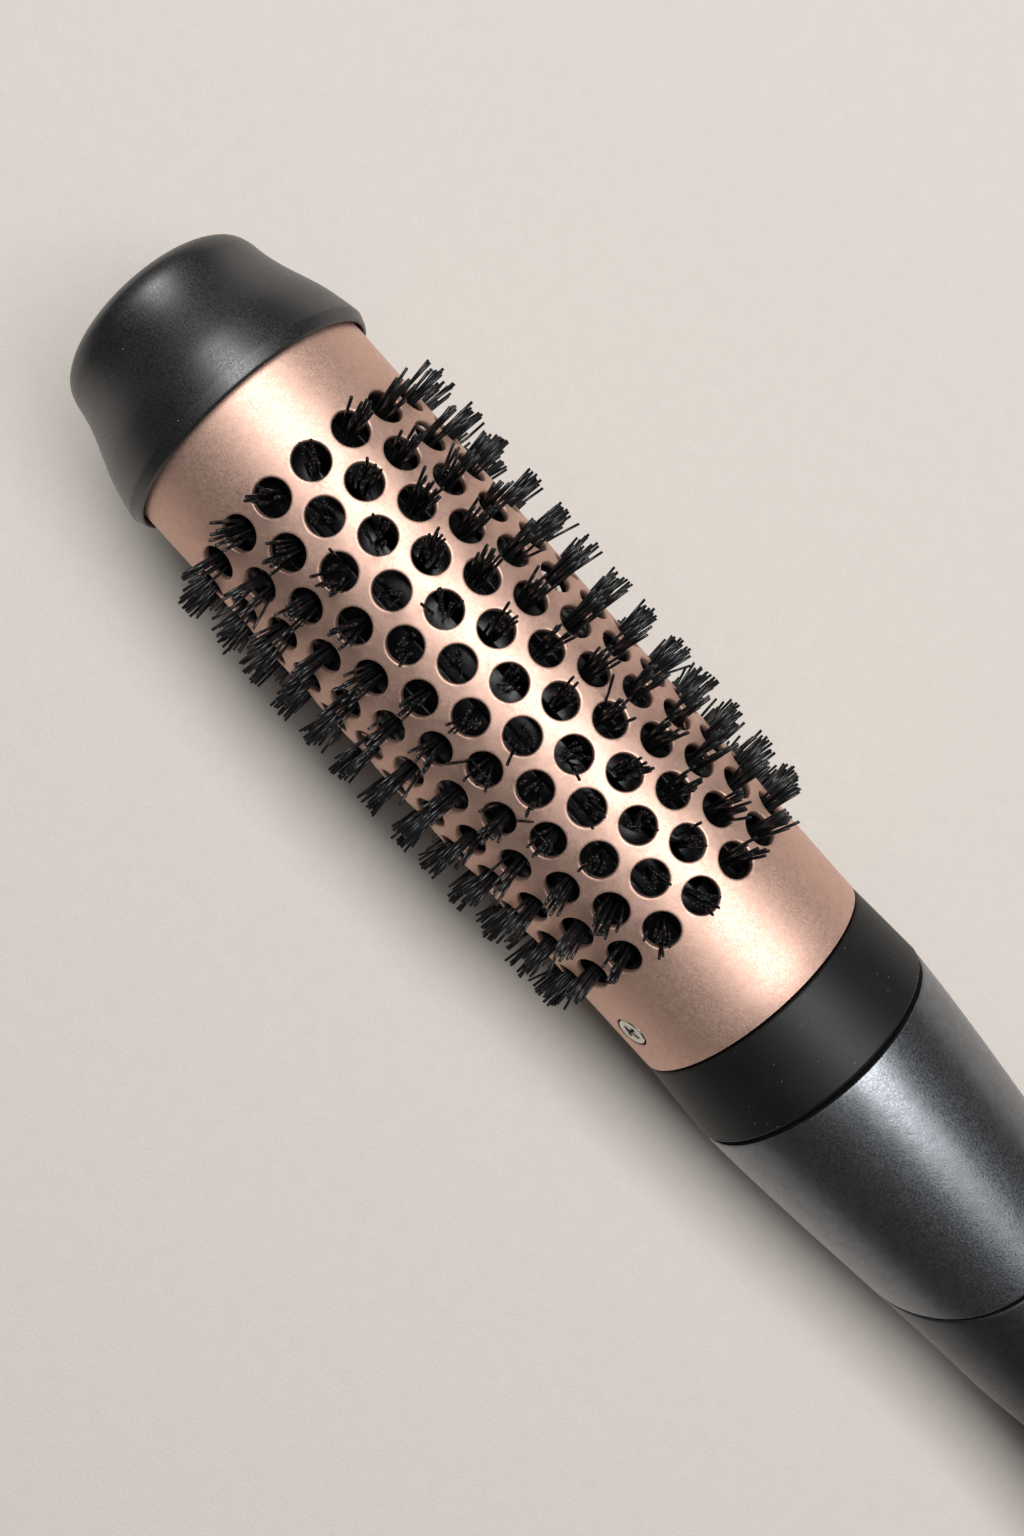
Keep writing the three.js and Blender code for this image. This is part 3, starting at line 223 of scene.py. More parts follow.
def soft_light(name, place, aim, width, length, power, colour):
    data = bpy.data.lights.new(name, "AREA")
    data.shape = "RECTANGLE"
    data.size = width
    data.size_y = length
    data.energy = power
    data.color = colour
    light = bpy.data.objects.new(name, data)
    light.location = place
    light.rotation_euler = (Vector(aim) - Vector(place)).to_track_quat("-Z", "Y").to_euler()
    bpy.context.scene.collection.objects.link(light)


soft_light("key_light", (0.25, -0.29, 0.95), (0.25, -0.02, 0), 1.9, 0.42, 19, (0.985, 0.993, 1.0))
soft_light("ceiling_light", (0, -0.2, 2.2), (0, 0, 0), 3.0, 3.0, 8, (1.0, 0.985, 0.965))
AMBIENT_STRENGTH = 0.02
BACKDROP_STRENGTH = 0.16
world = bpy.data.worlds.new("studio")
world.use_nodes = True
background = world.node_tree.nodes["Background"]
background.inputs["Color"].default_value = (1.0, 0.97, 0.93, 1)
light_path = world.node_tree.nodes.new("ShaderNodeLightPath")
seen = add_node(world.node_tree, "ShaderNodeMapRange")
seen.inputs["To Min"].default_value = AMBIENT_STRENGTH
seen.inputs["To Max"].default_value = BACKDROP_STRENGTH
world.node_tree.links.new(light_path.outputs["Is Camera Ray"], seen.inputs["Value"])
world.node_tree.links.new(seen.outputs["Result"], background.inputs["Strength"])
bpy.context.scene.world = world
bpy.context.scene.view_settings.view_transform = "Standard"


# ---- Barrel -------------------------------------------------------------------------------------
# A thin aluminium tube, bead-blasted and anodised rose gold. It is punched flat with staggered rings
# of round holes whose rims are rolled smooth, bent round and seamed, and held by screws at its base.

BARREL_RADIUS = 19
BARREL_WALL = 0.9
ROW_COUNT = 18
RING_COUNT = 13
RING_PITCH = 5.96
RING_STAGGER = 5
HOLE_RADIUS = 2.45
HOLE_POINTS = 32
COLLAR_WIDTH = 0.45
WELD = 0.002 * MM
FIRST_RING = 33
BARREL_TUCKED = 15.3
BARREL_END = 121.82
SCREW_STATION = 114.82
SCREW_ANGLE = 65
RIM_ROUND = 0.24


def at(station):
    """The x of a place that many millimetres back from the end of the cool tip."""
    return TIP_X - station * MM


def piece(name, shape, material, body, nodes, weighted=True):
    """Makes a mesh the finished piece on its body, in place of its CAD nodes."""
    data = mesh_from(shape, name)
    data.materials.append(material)
    data.polygons.foreach_set("use_smooth", [True] * len(data.polygons))
    made = bpy.data.objects.new(name, data)
    bpy.context.scene.collection.objects.link(made)
    if weighted:
        normals = made.modifiers.new("even_normals", "WEIGHTED_NORMAL")
        normals.weight = 60
    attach(made, body)
    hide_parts(*nodes)


def soften(shape, width, segments=2, sharper_than=28):
    """Rounds every edge that is sharper than an angle, by a width in millimetres."""
    limit = math.radians(sharper_than)
    edges = [e for e in shape.edges if len(e.link_faces) == 2 and e.calc_face_angle() > limit]
    bmesh.ops.bevel(
        shape, geom=edges, offset=width * MM, offset_type="OFFSET", segments=segments,
        profile=0.5, affect="EDGES", material=-1, clamp_overlap=True, loop_slide=True,
    )


def onto_square(vert):
    """The point on a unit square's outline in the direction of a vertex, evenly spaced on each side."""
    angle = math.atan2(vert.co.y, vert.co.x)
    quarter = round(angle / (math.pi / 2))
    across = (angle - quarter * math.pi / 2) / (math.pi / 2)
    return Matrix.Rotation(quarter * math.pi / 2, 3, "Z") @ Vector((0.5, across, 0))


def only_verts(geom):
    return [v for v in geom if isinstance(v, bmesh.types.BMVert)]


def extruded(shape, edges):
    """Extrudes open edges in place, and returns the new vertices and the new copies of the edges."""
    made = bmesh.ops.extrude_edge_only(shape, edges=edges)["geom"]
    verts = only_verts(made)
    fresh = set(verts)
    return verts, [e for e in made if isinstance(e, bmesh.types.BMEdge) and set(e.verts) <= fresh]


def barrel_cell(with_hole):
    """One flat cell of the sheet, from z = 0 down to its underside, with or without its punched hole."""
    width = 2 * math.pi * BARREL_RADIUS / ROW_COUNT
    per_side = HOLE_POINTS // 4
    collar = HOLE_RADIUS + COLLAR_WIDTH
    cell = bmesh.new()
    if with_hole:
        ring = bmesh.ops.create_circle(cell, segments=HOLE_POINTS, radius=collar)["verts"]
        ring_edges = cell.edges[:]
        outline, outline_edges = extruded(cell, ring_edges)
        for vert in outline:
            vert.co = onto_square(vert)
        bmesh.ops.scale(cell, vec=(RING_PITCH, width, 1), verts=outline)
        loops = set(ring_edges) | set(outline_edges)
        spokes = [e for e in cell.edges if e not in loops]
        bmesh.ops.subdivide_edges(cell, edges=spokes, cuts=1, use_grid_fill=True)
        rim, rim_edges = extruded(cell, ring_edges)
        bmesh.ops.scale(cell, vec=(HOLE_RADIUS / collar,) * 2 + (1,), verts=rim)
    else:
        bmesh.ops.create_grid(cell, x_segments=per_side, y_segments=per_side, size=0.5)
        bmesh.ops.scale(cell, vec=(RING_PITCH, width, 1), verts=cell.verts[:])
    under = bmesh.ops.duplicate(cell, geom=cell.verts[:] + cell.edges[:] + cell.faces[:])["geom"]
    bmesh.ops.translate(cell, vec=(0, 0, -BARREL_WALL), verts=only_verts(under))
    if with_hole:
        wall = extruded(cell, rim_edges)[0]
        bmesh.ops.translate(cell, vec=(0, 0, -BARREL_WALL), verts=wall)
        bmesh.ops.remove_doubles(cell, verts=cell.verts[:], dist=0.001)
        bmesh.ops.bevel(
            cell, geom=rim_edges, offset=RIM_ROUND, offset_type="OFFSET", segments=3,
            profile=0.5, affect="EDGES", material=-1,
        )
    return mesh_from(cell, "cell")


def barrel_sheet():
    """The whole sheet's cells, each set in its ring, in millimetres, before it is bent."""
    sheet = bmesh.new()
    row_angle = 360 / ROW_COUNT
    rings = [
        (FIRST_RING + i * RING_PITCH, RING_STAGGER if i % 2 else -RING_STAGGER, range(ROW_COUNT))
        for i in range(RING_COUNT)
    ]
    rings.append((SCREW_STATION, SCREW_ANGLE, (0, ROW_COUNT // 2)))
    punched, plain = barrel_cell(True), barrel_cell(False)
    for station, stagger, holes in rings:
        for row in range(ROW_COUNT):
            before = len(sheet.verts)
            sheet.from_mesh(punched if row in holes else plain)
            sheet.verts.ensure_lookup_table()
            arc = math.radians(stagger + row * row_angle) * BARREL_RADIUS
            bmesh.ops.translate(sheet, vec=(-station, arc, 0), verts=sheet.verts[before:])
    bpy.data.meshes.remove(punched)
    bpy.data.meshes.remove(plain)
    return sheet


def bend_round(sheet):
    """Bends the flat sheet round the axis and puts it in place, in metres."""
    for vert in sheet.verts:
        angle = vert.co.y / BARREL_RADIUS
        radius = (BARREL_RADIUS + vert.co.z) * MM
        vert.co = (TIP_X + vert.co.x * MM, radius * math.sin(angle), AXIS_Z + radius * math.cos(angle))
    bmesh.ops.remove_doubles(sheet, verts=sheet.verts[:], dist=WELD)


def end_loops(shape, station, outer):
    """The open edges near a station, of the outer or the inner skin."""
    middle = (BARREL_RADIUS - BARREL_WALL / 2) * MM

    def belongs(vert):
        radius = math.hypot(vert.co.y, vert.co.z - AXIS_Z)
        return abs(vert.co.x - at(station)) < 0.01 * MM and (radius > middle) == outer

    return [e for e in shape.edges if e.is_boundary and all(belongs(v) for v in e.verts)]


barrel = barrel_sheet()
bend_round(barrel)
half_cell = RING_PITCH / 2
last_ring = FIRST_RING + (RING_COUNT - 1) * RING_PITCH
for border, end_station, closed in (
    (last_ring + half_cell, SCREW_STATION - half_cell, False),
    (FIRST_RING - half_cell, BARREL_TUCKED, True),
    (SCREW_STATION + half_cell, BARREL_END, True),
):
    for outer in (True, False):
        drawn, drawn_edges = extruded(barrel, end_loops(barrel, border, outer))
        for vert in drawn:
            vert.co.x = at(end_station)
        if outer and closed:
            wall = extruded(barrel, drawn_edges)[0]
            inner = (BARREL_RADIUS - BARREL_WALL) / BARREL_RADIUS
            bmesh.ops.scale(
                barrel, vec=(1, inner, inner), space=Matrix.Translation((0, 0, -AXIS_Z)), verts=wall,
            )
bmesh.ops.remove_doubles(barrel, verts=barrel.verts[:], dist=WELD)
bmesh.ops.recalc_face_normals(barrel, faces=barrel.faces[:])

ROSE_GOLD = grained_material(
    "rose_gold", (0.65, 0.415, 0.330), (0.75, 0.500, 0.405), 0.54, 0.90, 0.26, 0.011, 0.9, 0.08,
)
piece("barrel_tube", barrel, ROSE_GOLD, "head", ["barrel"])


# ---- Bristle strips -----------------------------------------------------------------------------
# Eighteen moulded bars on the core carry the tufts. Each tuft is a dozen or so drawn nylon filaments,
# set in the bar, that fan out through a hole of the barrel and are cut off at an uneven height.

CORE_FLAT = 13.69
BAR_HEIGHT = 1.6
BAR_WIDTH = 3.8
BAR_ENDS = (29.1, 108.4)
FILAMENT_RADIUS = 0.21
FILAMENT_SIDES = 6
TUFT_TOP = 24.0
chance = random.Random(7)


def filament_mesh():
    """One straight filament of unit length along +Z, in millimetres across."""
    thread = bmesh.new()
    bmesh.ops.create_cone(
        thread, cap_ends=True, segments=FILAMENT_SIDES, radius1=FILAMENT_RADIUS,
        radius2=FILAMENT_RADIUS, depth=1,
    )
    bmesh.ops.translate(thread, vec=(0, 0, 0.5), verts=thread.verts[:])
    long_edges = [e for e in thread.edges if abs(e.verts[0].co.z - e.verts[1].co.z) > 0.5]
    bmesh.ops.subdivide_edges(thread, edges=long_edges, cuts=2)
    return mesh_from(thread, "filament")


def set_specular(material, level):
    material.node_tree.nodes["Principled BSDF"].inputs["Specular IOR Level"].default_value = level


def bristle_strip(row, filament):
    """One bar with its tufts, built upright over the axis and then turned to its row."""
    strip = bmesh.new()
    root = CORE_FLAT + BAR_HEIGHT / 2
    for ring in range(RING_COUNT):
        station = FIRST_RING + ring * RING_PITCH
        stagger = math.radians(RING_STAGGER if ring % 2 else -RING_STAGGER)
        lean = Vector((chance.gauss(0, 0.3), chance.gauss(0, 0.3)))
        for _ in range(chance.randint(10, 13)):
            before = len(strip.verts)
            strip.from_mesh(filament)
            strip.verts.ensure_lookup_table()
            spot = Vector((chance.uniform(-1, 1), chance.uniform(-1, 1)))
            stray = 1.1 if chance.random() < 0.12 else 0.22
            foot = spot * 0.8
            tip = spot * 1.45 + lean + Vector((chance.gauss(0, stray), chance.gauss(0, stray)))
            bow = Vector((chance.gauss(0, 0.14), chance.gauss(0, 0.14)))
            reach = TUFT_TOP - chance.uniform(0, 1) ** 2 * 1.6
            height = math.sqrt(reach ** 2 - tip.length_squared) - root
            for vert in strip.verts[before:]:
                up = vert.co.z
                centre = foot.lerp(tip, up ** 1.15) + bow * math.sin(up * math.pi)
                vert.co = (vert.co.x + centre.x, vert.co.y + centre.y, root + up * height)
            verts = strip.verts[before:]
            bmesh.ops.rotate(strip, cent=(0, 0, 0), matrix=Matrix.Rotation(-stagger, 3, "X"), verts=verts)
            bmesh.ops.translate(strip, vec=(-station, 0, 0), verts=verts)
    bar = bmesh.ops.create_cube(strip, size=1)["verts"]
    bmesh.ops.scale(strip, vec=(BAR_ENDS[1] - BAR_ENDS[0], BAR_WIDTH, BAR_HEIGHT), verts=bar)
    bmesh.ops.translate(strip, vec=(-sum(BAR_ENDS) / 2, 0, root), verts=bar)
    bmesh.ops.bevel(
        strip, geom=list({e for v in bar for e in v.link_edges}), offset=0.3, offset_type="OFFSET",
        segments=2, profile=0.5, affect="EDGES", material=-1,
    )
    turn_to_row = Matrix.Rotation(-math.radians(row * 360 / ROW_COUNT), 4, "X")
    place = Matrix.Translation((TIP_X, 0, AXIS_Z)) @ Matrix.Scale(MM, 4) @ turn_to_row
    bmesh.ops.transform(strip, matrix=place, verts=strip.verts[:])
    return strip


NYLON = grained_material(
    "tuft_nylon", (0.004, 0.004, 0.0045), (0.008, 0.008, 0.009), 0.30, 0.0, 0.3, 0.004, 2.0, 0.06,
)
set_specular(NYLON, 0.3)
filament = filament_mesh()
for row in range(ROW_COUNT):
    strip = bristle_strip(row, filament)
    node = f"bristle_strip_{row + 1:02d}"
    piece(f"tuft_row_{row + 1:02d}", strip, NYLON, "head", [node], False)
bpy.data.meshes.remove(filament)


# ---- Cool tip -----------------------------------------------------------------------------------
# A hollow moulding in matt soft-touch black, with a waisted side to hold the hot end by and a lip
# that runs over the barrel. One screw through the plug inside the barrel holds it on.

TIP_BORE = 19.3


def smooth_line(points, steps=4):
    """A smooth line through (station, radius) points, with extra points on each span."""
    ends = [points[0], *points, points[-1]]
    line = []
    for before, start, stop, after in zip(ends, ends[1:], ends[2:], ends[3:]):
        for step in range(steps):
            t = step / steps
            line.append(tuple(
                0.5 * (2 * b + (c - a) * t + (2 * a - 5 * b + 4 * c - d) * t ** 2
                       + (3 * b - a - 3 * c + d) * t ** 3)
                for a, b, c, d in zip(before, start, stop, after)
            ))
    return [*line, points[-1]]


def closed_edges(shape, verts):
    """Joins vertices in a closed outline."""
    return [shape.edges.new(pair) for pair in zip(verts, verts[1:] + verts[:1])]


def spin_outline(points, centre, axis, steps):
    """A closed piece spun from an outline of points in the row frame."""
    shape = bmesh.new()
    verts = [shape.verts.new(point) for point in points]
    edges = closed_edges(shape, verts)
    bmesh.ops.spin(
        shape, geom=verts + edges, cent=centre, axis=axis, angle=2 * math.pi, steps=steps, use_merge=True,
    )
    bmesh.ops.remove_doubles(shape, verts=shape.verts[:], dist=0.001 * MM)
    bmesh.ops.dissolve_degenerate(shape, edges=shape.edges[:], dist=0.0001 * MM)
    bmesh.ops.recalc_face_normals(shape, faces=shape.faces[:])
    return shape


def spun(outline, steps=96):
    """A piece turned about the brush's axis, from a closed outline of (station, radius) points."""
    points = [(at(station), 0, AXIS_Z + radius * MM) for station, radius in outline]
    return spin_outline(points, (0, 0, AXIS_Z), (1, 0, 0), steps)


SOFT_BLACK = grained_material(
    "soft_black", (0.004, 0.0043, 0.0048), (0.009, 0.0095, 0.0105), 0.38, 0.0, 0.26, 0.006, 6.0, 0.10,
)
set_specular(SOFT_BLACK, 0.95)
add_specks(SOFT_BLACK, (0.28, 0.27, 0.26), 0.9, 0.075, 0.10)

tip_side = smooth_line([
    (0.0, 0.0), (0.12, 6.0), (0.42, 10.5), (1.0, 13.3), (2.1, 15.05), (3.6, 15.8), (5.4, 16.15),
    (7.4, 16.65), (9.6, 17.4), (12.0, 18.35), (14.4, 19.25), (16.8, 19.9), (18.7, 20.32), (19.3, 20.43),
    (19.5, 20.43), (19.68, 20.36), (20.2, 20.17), (20.75, 19.95), (21.0, 19.62),
])
tip_inside = [
    (20.7, TIP_BORE), (14.7, TIP_BORE), (14.7, 13.2), (2.8, 13.2), (2.8, 3.6), (14.7, 3.6), (14.7, 1.45),
    (2.8, 1.45), (2.8, 0.0),
]
piece("cool_tip_cap", spun(tip_side + tip_inside, 128), SOFT_BLACK, "head", ["cool_tip"])


# ---- Screws -------------------------------------------------------------------------------------
# Nickel-plated countersunk screws with a cross recess. Two hold the barrel to its base, sunk just
# below its face, and two longer ones hold the lower grip shell to the upper one.

HEAD_RADIUS = 2.15


def cross_head_screw(length, matrix):
    """A screw with its face at z = 0 and its shank down, in millimetres, put in place by a matrix."""
    shank = 1.1
    screw = bmesh.new()
    outline = [
        (HEAD_RADIUS - 0.18, 0.0), (HEAD_RADIUS - 0.05, -0.05), (HEAD_RADIUS, -0.17), (HEAD_RADIUS, -0.3),
        (shank, -1.1), (shank, -length), (0.0, -length),
    ]
    verts = [screw.verts.new((radius, 0, height)) for radius, height in outline]
    edges = [screw.edges.new(pair) for pair in zip(verts, verts[1:])]
    bmesh.ops.spin(
        screw, geom=verts + edges, cent=(0, 0, 0), axis=(0, 0, 1), angle=2 * math.pi, steps=32,
        use_merge=True,
    )
    bmesh.ops.remove_doubles(screw, verts=screw.verts[:], dist=0.0001)
    face_edges = [e for e in screw.edges if e.is_boundary]
    arm, half = 1.3, 0.28
    quarter = [(arm, -half), (arm, half), (half, half)]
    corners = []
    for turn_count in range(4):
        turned = Matrix.Rotation(turn_count * math.pi / 2, 3, "Z")
        corners += [screw.verts.new(turned @ Vector((x, y, 0))) for x, y in quarter]
    cross = closed_edges(screw, corners)
    bmesh.ops.triangle_fill(screw, use_beauty=True, edges=face_edges + cross)
    floor, floor_edges = extruded(screw, cross)
    bmesh.ops.scale(screw, vec=(0.72, 0.72, 1), verts=floor)
    bmesh.ops.translate(screw, vec=(0, 0, -0.65), verts=floor)
    pit = extruded(screw, floor_edges)[0]
    bmesh.ops.scale(screw, vec=(0, 0, 1), verts=pit)
    bmesh.ops.translate(screw, vec=(0, 0, -0.45), verts=pit)
    bmesh.ops.remove_doubles(screw, verts=screw.verts[:], dist=0.0001)
    bmesh.ops.recalc_face_normals(screw, faces=screw.faces[:])
    bmesh.ops.transform(screw, matrix=matrix, verts=screw.verts[:])
    return screw


SCREW_NICKEL = grained_material(
    "screw_nickel", (0.52, 0.49, 0.44), (0.66, 0.63, 0.57), 0.27, 1.0, 0.25, 0.006, 1.5, 0.08,
)
for index in range(2):
    spread = Matrix.Rotation(-math.radians(SCREW_ANGLE + 180 * index), 4, "X")
    sunk = Matrix.Translation((0, 0, BARREL_RADIUS - 0.15)) @ Matrix.Rotation(0.4 + index, 4, "Z")
    place = Matrix.Translation((at(SCREW_STATION), 0, AXIS_Z)) @ Matrix.Scale(MM, 4) @ spread @ sunk
    node = f"barrel_screw_{index + 1}"
    piece(f"barrel_screw_head_{index + 1}", cross_head_screw(4.2, place), SCREW_NICKEL, "head",
          [node])


# ---- Inside the head ----------------------------------------------------------------------------
# The base is a black moulding that the barrel is screwed to. It slides over the handle's nozzle and
# carries the twist ring, which a spring-steel clip holds on. The plug and the core fill the barrel.

NOZZLE_BORE = 14.1
RING_START = 122.32
RING_END = 134.92
BASE_OUTER = 16.9
CLIP_STATION = 129.4

DARK_PLASTIC = grained_material(
    "dark_plastic", (0.018, 0.019, 0.021), (0.027, 0.028, 0.030), 0.5, 0.0, 0.18, 0.012, 7.0, 0.07,
)
PLAIN_STEEL = grained_material(
    "plain_steel", (0.40, 0.41, 0.42), (0.52, 0.53, 0.54), 0.34, 1.0, 0.12, 0.005, 3.0, 0.1,
)
base_outline = [
    (108.82, 17.8), (121.82, 17.8), (121.82, BASE_OUTER), (128.7, BASE_OUTER), (128.7, 15.95),
    (130.1, 15.95), (130.1, BASE_OUTER), (130.92, BASE_OUTER), (130.92, NOZZLE_BORE), (108.82, NOZZLE_BORE),
]
base = spun(base_outline)
soften(base, 0.2)
piece("barrel_base", base, DARK_PLASTIC, "head", ["head_base"])
clip = spun([
    (CLIP_STATION - 0.4, 16.25), (CLIP_STATION + 0.4, 16.25), (CLIP_STATION + 0.4, 17.75),
    (CLIP_STATION - 0.4, 17.75),
])
soften(clip, 0.15)
piece("ring_retainer", clip, PLAIN_STEEL, "head", ["ring_clip"])


def finish_cad(material, *nodes):
    """Gives CAD pieces that stay as they are their finish."""
    for node in nodes:
        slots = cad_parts[node].data.materials
        slots.clear()
        slots.append(material)


finish_cad(DARK_PLASTIC, "tip_plug", "bristle_core")
finish_cad(SCREW_NICKEL, "tip_screw")


# ---- Twist ring ---------------------------------------------------------------------------------
# A plain soft-touch ring between barrel and handle. Six lugs inside its rear edge turn behind those
# of the handle to lock the head on.

LUG_COUNT = 6
LUG_WIDTH = math.radians(26)


def add_lugs(shape, stations, radii, offset):
    """Adds blocks spaced round the axis, each a slice of a ring."""
    start, end = stations
    inner, outer = radii
    for index in range(LUG_COUNT):
        corners = [(start, inner), (end, inner), (end, outer), (start, outer)]
        verts = [shape.verts.new((at(s), 0, AXIS_Z + r * MM)) for s, r in corners]
        face = shape.faces.new(verts)
        middle = offset + index * 2 * math.pi / LUG_COUNT
        bmesh.ops.rotate(
            shape, cent=(0, 0, AXIS_Z), matrix=Matrix.Rotation(middle - LUG_WIDTH / 2, 3, "X"), verts=verts,
        )
        lid = bmesh.ops.duplicate(shape, geom=[*verts, *face.edges, face])["geom"]
        bmesh.ops.spin(
            shape, geom=lid, cent=(0, 0, AXIS_Z), axis=(1, 0, 0), angle=LUG_WIDTH, steps=8, use_merge=False,
        )
    bmesh.ops.remove_doubles(shape, verts=shape.verts[:], dist=0.001 * MM)
    bmesh.ops.recalc_face_normals(shape, faces=shape.faces[:])


RING_BLACK = grained_material(
    "ring_black", (0.003, 0.0032, 0.0034), (0.006, 0.0063, 0.0067), 0.50, 0.0, 0.16, 0.003, 5.0, 0.06,
)
set_specular(RING_BLACK, 0.3)
add_specks(RING_BLACK, (0.25, 0.24, 0.23), 0.8, 0.075, 0.12)
ring = spun([
    (RING_START, 18.75), (RING_START + 0.25, 19.0), (RING_START + 4, 19.25), (RING_START + 8, 19.5),
    (RING_END - 0.55, 19.75), (RING_END, 19.25), (RING_END, 18.54), (128.72, 18.54), (128.72, 17.46),
    (RING_START, 17.46),
], 128)
soften(ring, 0.14, 2, 20)
add_lugs(ring, (RING_END - 1.6, RING_END), (15.94, 18.74), 0)
piece("lock_ring", ring, RING_BLACK, "twist_ring", ["twist_ring"])


# ---- Air nozzle and heater ----------------------------------------------------------------------
# The black nozzle stands out of the handle with a silicone seal in its groove and a steel guard in
# its mouth. Behind it a mica sleeve holds the coil, wound on crossed mica boards.

HANDLE_START = 135.42
NOZZLE_START = 115.42
SEAL_STATION = 123.42

nozzle = spun([
    (NOZZLE_START, 13.3), (NOZZLE_START + 0.3, 13.62), (NOZZLE_START + 0.9, 13.8),
    (SEAL_STATION - 0.85, 13.8), (SEAL_STATION - 0.85, 13.25), (SEAL_STATION + 0.85, 13.25),
    (SEAL_STATION + 0.85, 13.8), (138.22, 13.8), (138.22, 15.0), (141.42, 15.0), (141.42, 12.6),
    (NOZZLE_START, 12.6),
])
soften(nozzle, 0.15)
piece("air_nozzle", nozzle, DARK_PLASTIC, "handle", ["nozzle"])
SILICONE = grained_material(
    "silicone", (0.050, 0.050, 0.054), (0.068, 0.068, 0.072), 0.42, 0.0, 0.5, 0.006, 4.0, 0.05,
)
seal = spun([
    (SEAL_STATION - 0.7, 13.4), (SEAL_STATION + 0.7, 13.4), (SEAL_STATION + 0.7, 13.7),
    (SEAL_STATION + 0.35, 13.9), (SEAL_STATION - 0.35, 13.9), (SEAL_STATION - 0.7, 13.7),
])
piece("nozzle_ring_seal", seal, SILICONE, "handle", ["nozzle_seal"])


def filled_outline(shape, loops, x):
    """Fills the flat face between outlines of (y, z) points in millimetres, on a plane across the axis."""
    edges = []
    for loop in loops:
        verts = [shape.verts.new((x, y * MM, AXIS_Z + z * MM)) for y, z in loop]
        edges += closed_edges(shape, verts)
    return bmesh.ops.triangle_fill(shape, use_beauty=True, edges=edges)["geom"]


def circle_points(radius, count, centre=(0, 0)):
    angles = [2 * math.pi * i / count for i in range(count)]
    return [(centre[0] + radius * math.sin(a), centre[1] + radius * math.cos(a)) for a in angles]


def thicken_along_axis(shape, flat, thickness):
    """Gives a flat face a thickness towards the tip, in millimetres."""
    faces = [f for f in flat if isinstance(f, bmesh.types.BMFace)]
    raised = bmesh.ops.extrude_face_region(shape, geom=faces, use_keep_orig=True)["geom"]
    bmesh.ops.translate(shape, vec=(thickness * MM, 0, 0), verts=only_verts(raised))
    bmesh.ops.recalc_face_normals(shape, faces=shape.faces[:])


GUARD_OUTER = 12.3
GUARD_INNER = 11.1
GUARD_BAR = 0.5
guard = bmesh.new()
start_angle = math.asin(GUARD_BAR / GUARD_INNER)
quadrants = []
for index in range(4):
    arc = [start_angle + (math.pi / 2 - 2 * start_angle) * i / 16 for i in range(17)]
    wedge = [(GUARD_BAR, GUARD_BAR)]
    wedge += [(GUARD_INNER * math.sin(a), GUARD_INNER * math.cos(a)) for a in arc]
    cosine, sine = math.cos(index * math.pi / 2), math.sin(index * math.pi / 2)
    quadrants.append([(y * cosine - z * sine, y * sine + z * cosine) for y, z in wedge])
guard_face = filled_outline(guard, [circle_points(GUARD_OUTER, 96), *quadrants], at(NOZZLE_START + 2.8))
thicken_along_axis(guard, guard_face, 1.8)
soften(guard, 0.15)
piece("outlet_guard", guard, PLAIN_STEEL, "handle", ["outlet_grille"])

MICA_BOARD = grained_material(
    "mica_board", (0.42, 0.33, 0.21), (0.60, 0.50, 0.34), 0.55, 0.0, 0.8, 0.02, 2.5, 0.1,
)
HEATING_WIRE = grained_material(
    "heating_wire", (0.20, 0.17, 0.15), (0.38, 0.34, 0.31), 0.38, 1.0, 0.3, 0.01, 1.2, 0.1,
)
finish_cad(MICA_BOARD, "heater_sleeve", "heater_frame")
finish_cad(HEATING_WIRE, "heater_coil")
finish_cad(PLAIN_STEEL, "thermal_cutout", "thermal_fuse")


# ---- Handle front casing ------------------------------------------------------------------------
# The front of the handle is one moulding with a fine leather grain, painted gunmetal. Its front wall
# carries the lugs for the twist ring, and it ends at an oblique seam.

HANDLE_RADIUS = 19.6
WAIST_RADIUS = 14.5
WAIST_START = 78
WAIST_END = 90
FLARE_END = 152
REAR_RADIUS = 24.366
TAPER_POWER = 1.35
CASING_WALL = 2.0
SEAM_GAP = 0.5
EDGE_ROUND = 0.3
FRONT_SEAM = (32.0, math.radians(21))
REAR_SEAM = (118.0, math.radians(-12))
WALL_START = 131.42


def handle_radius(distance):
    """The handle's outer radius, a distance behind its front rim."""
    if distance <= WAIST_START:
        share = math.sin(max(distance, 0) / WAIST_START * math.pi / 2) ** TAPER_POWER
        return HANDLE_RADIUS + (WAIST_RADIUS - HANDLE_RADIUS) * share
    t = min(max((distance - WAIST_END) / (FLARE_END - WAIST_END), 0), 1)
    return WAIST_RADIUS + (REAR_RADIUS - WAIST_RADIUS) * t * t * (3 - 2 * t)


def seam_distance(seam, angle, gap=0.0):
    """Where an oblique seam crosses the casing at an angle round it, measured from +Z towards +Y."""
    middle, tilt = seam
    distance = middle
    for _ in range(8):
        distance = middle + gap + handle_radius(distance) * math.cos(angle) * math.tan(tilt)
    return distance


def merge(shape, other):
    """Adds another shape to this one, and frees it."""
    data = mesh_from(other, "merged")
    shape.from_mesh(data)
    bpy.data.meshes.remove(data)


def rounding(inset, width=EDGE_ROUND):
    """How far a rounded edge drops, that many millimetres in from its border."""
    short = max(width - inset, 0)
    return width - math.sqrt(width ** 2 - short ** 2)


def on_handle(distance, angle, depth):
    """The place at a distance behind the front rim, an angle round, and a depth under the surface."""
    radius = (handle_radius(distance) - depth) * MM
    return (at(HANDLE_START + distance), radius * math.sin(angle), AXIS_Z + radius * math.cos(angle))


BORDER = [0.0, 0.04, 0.11, EDGE_ROUND]


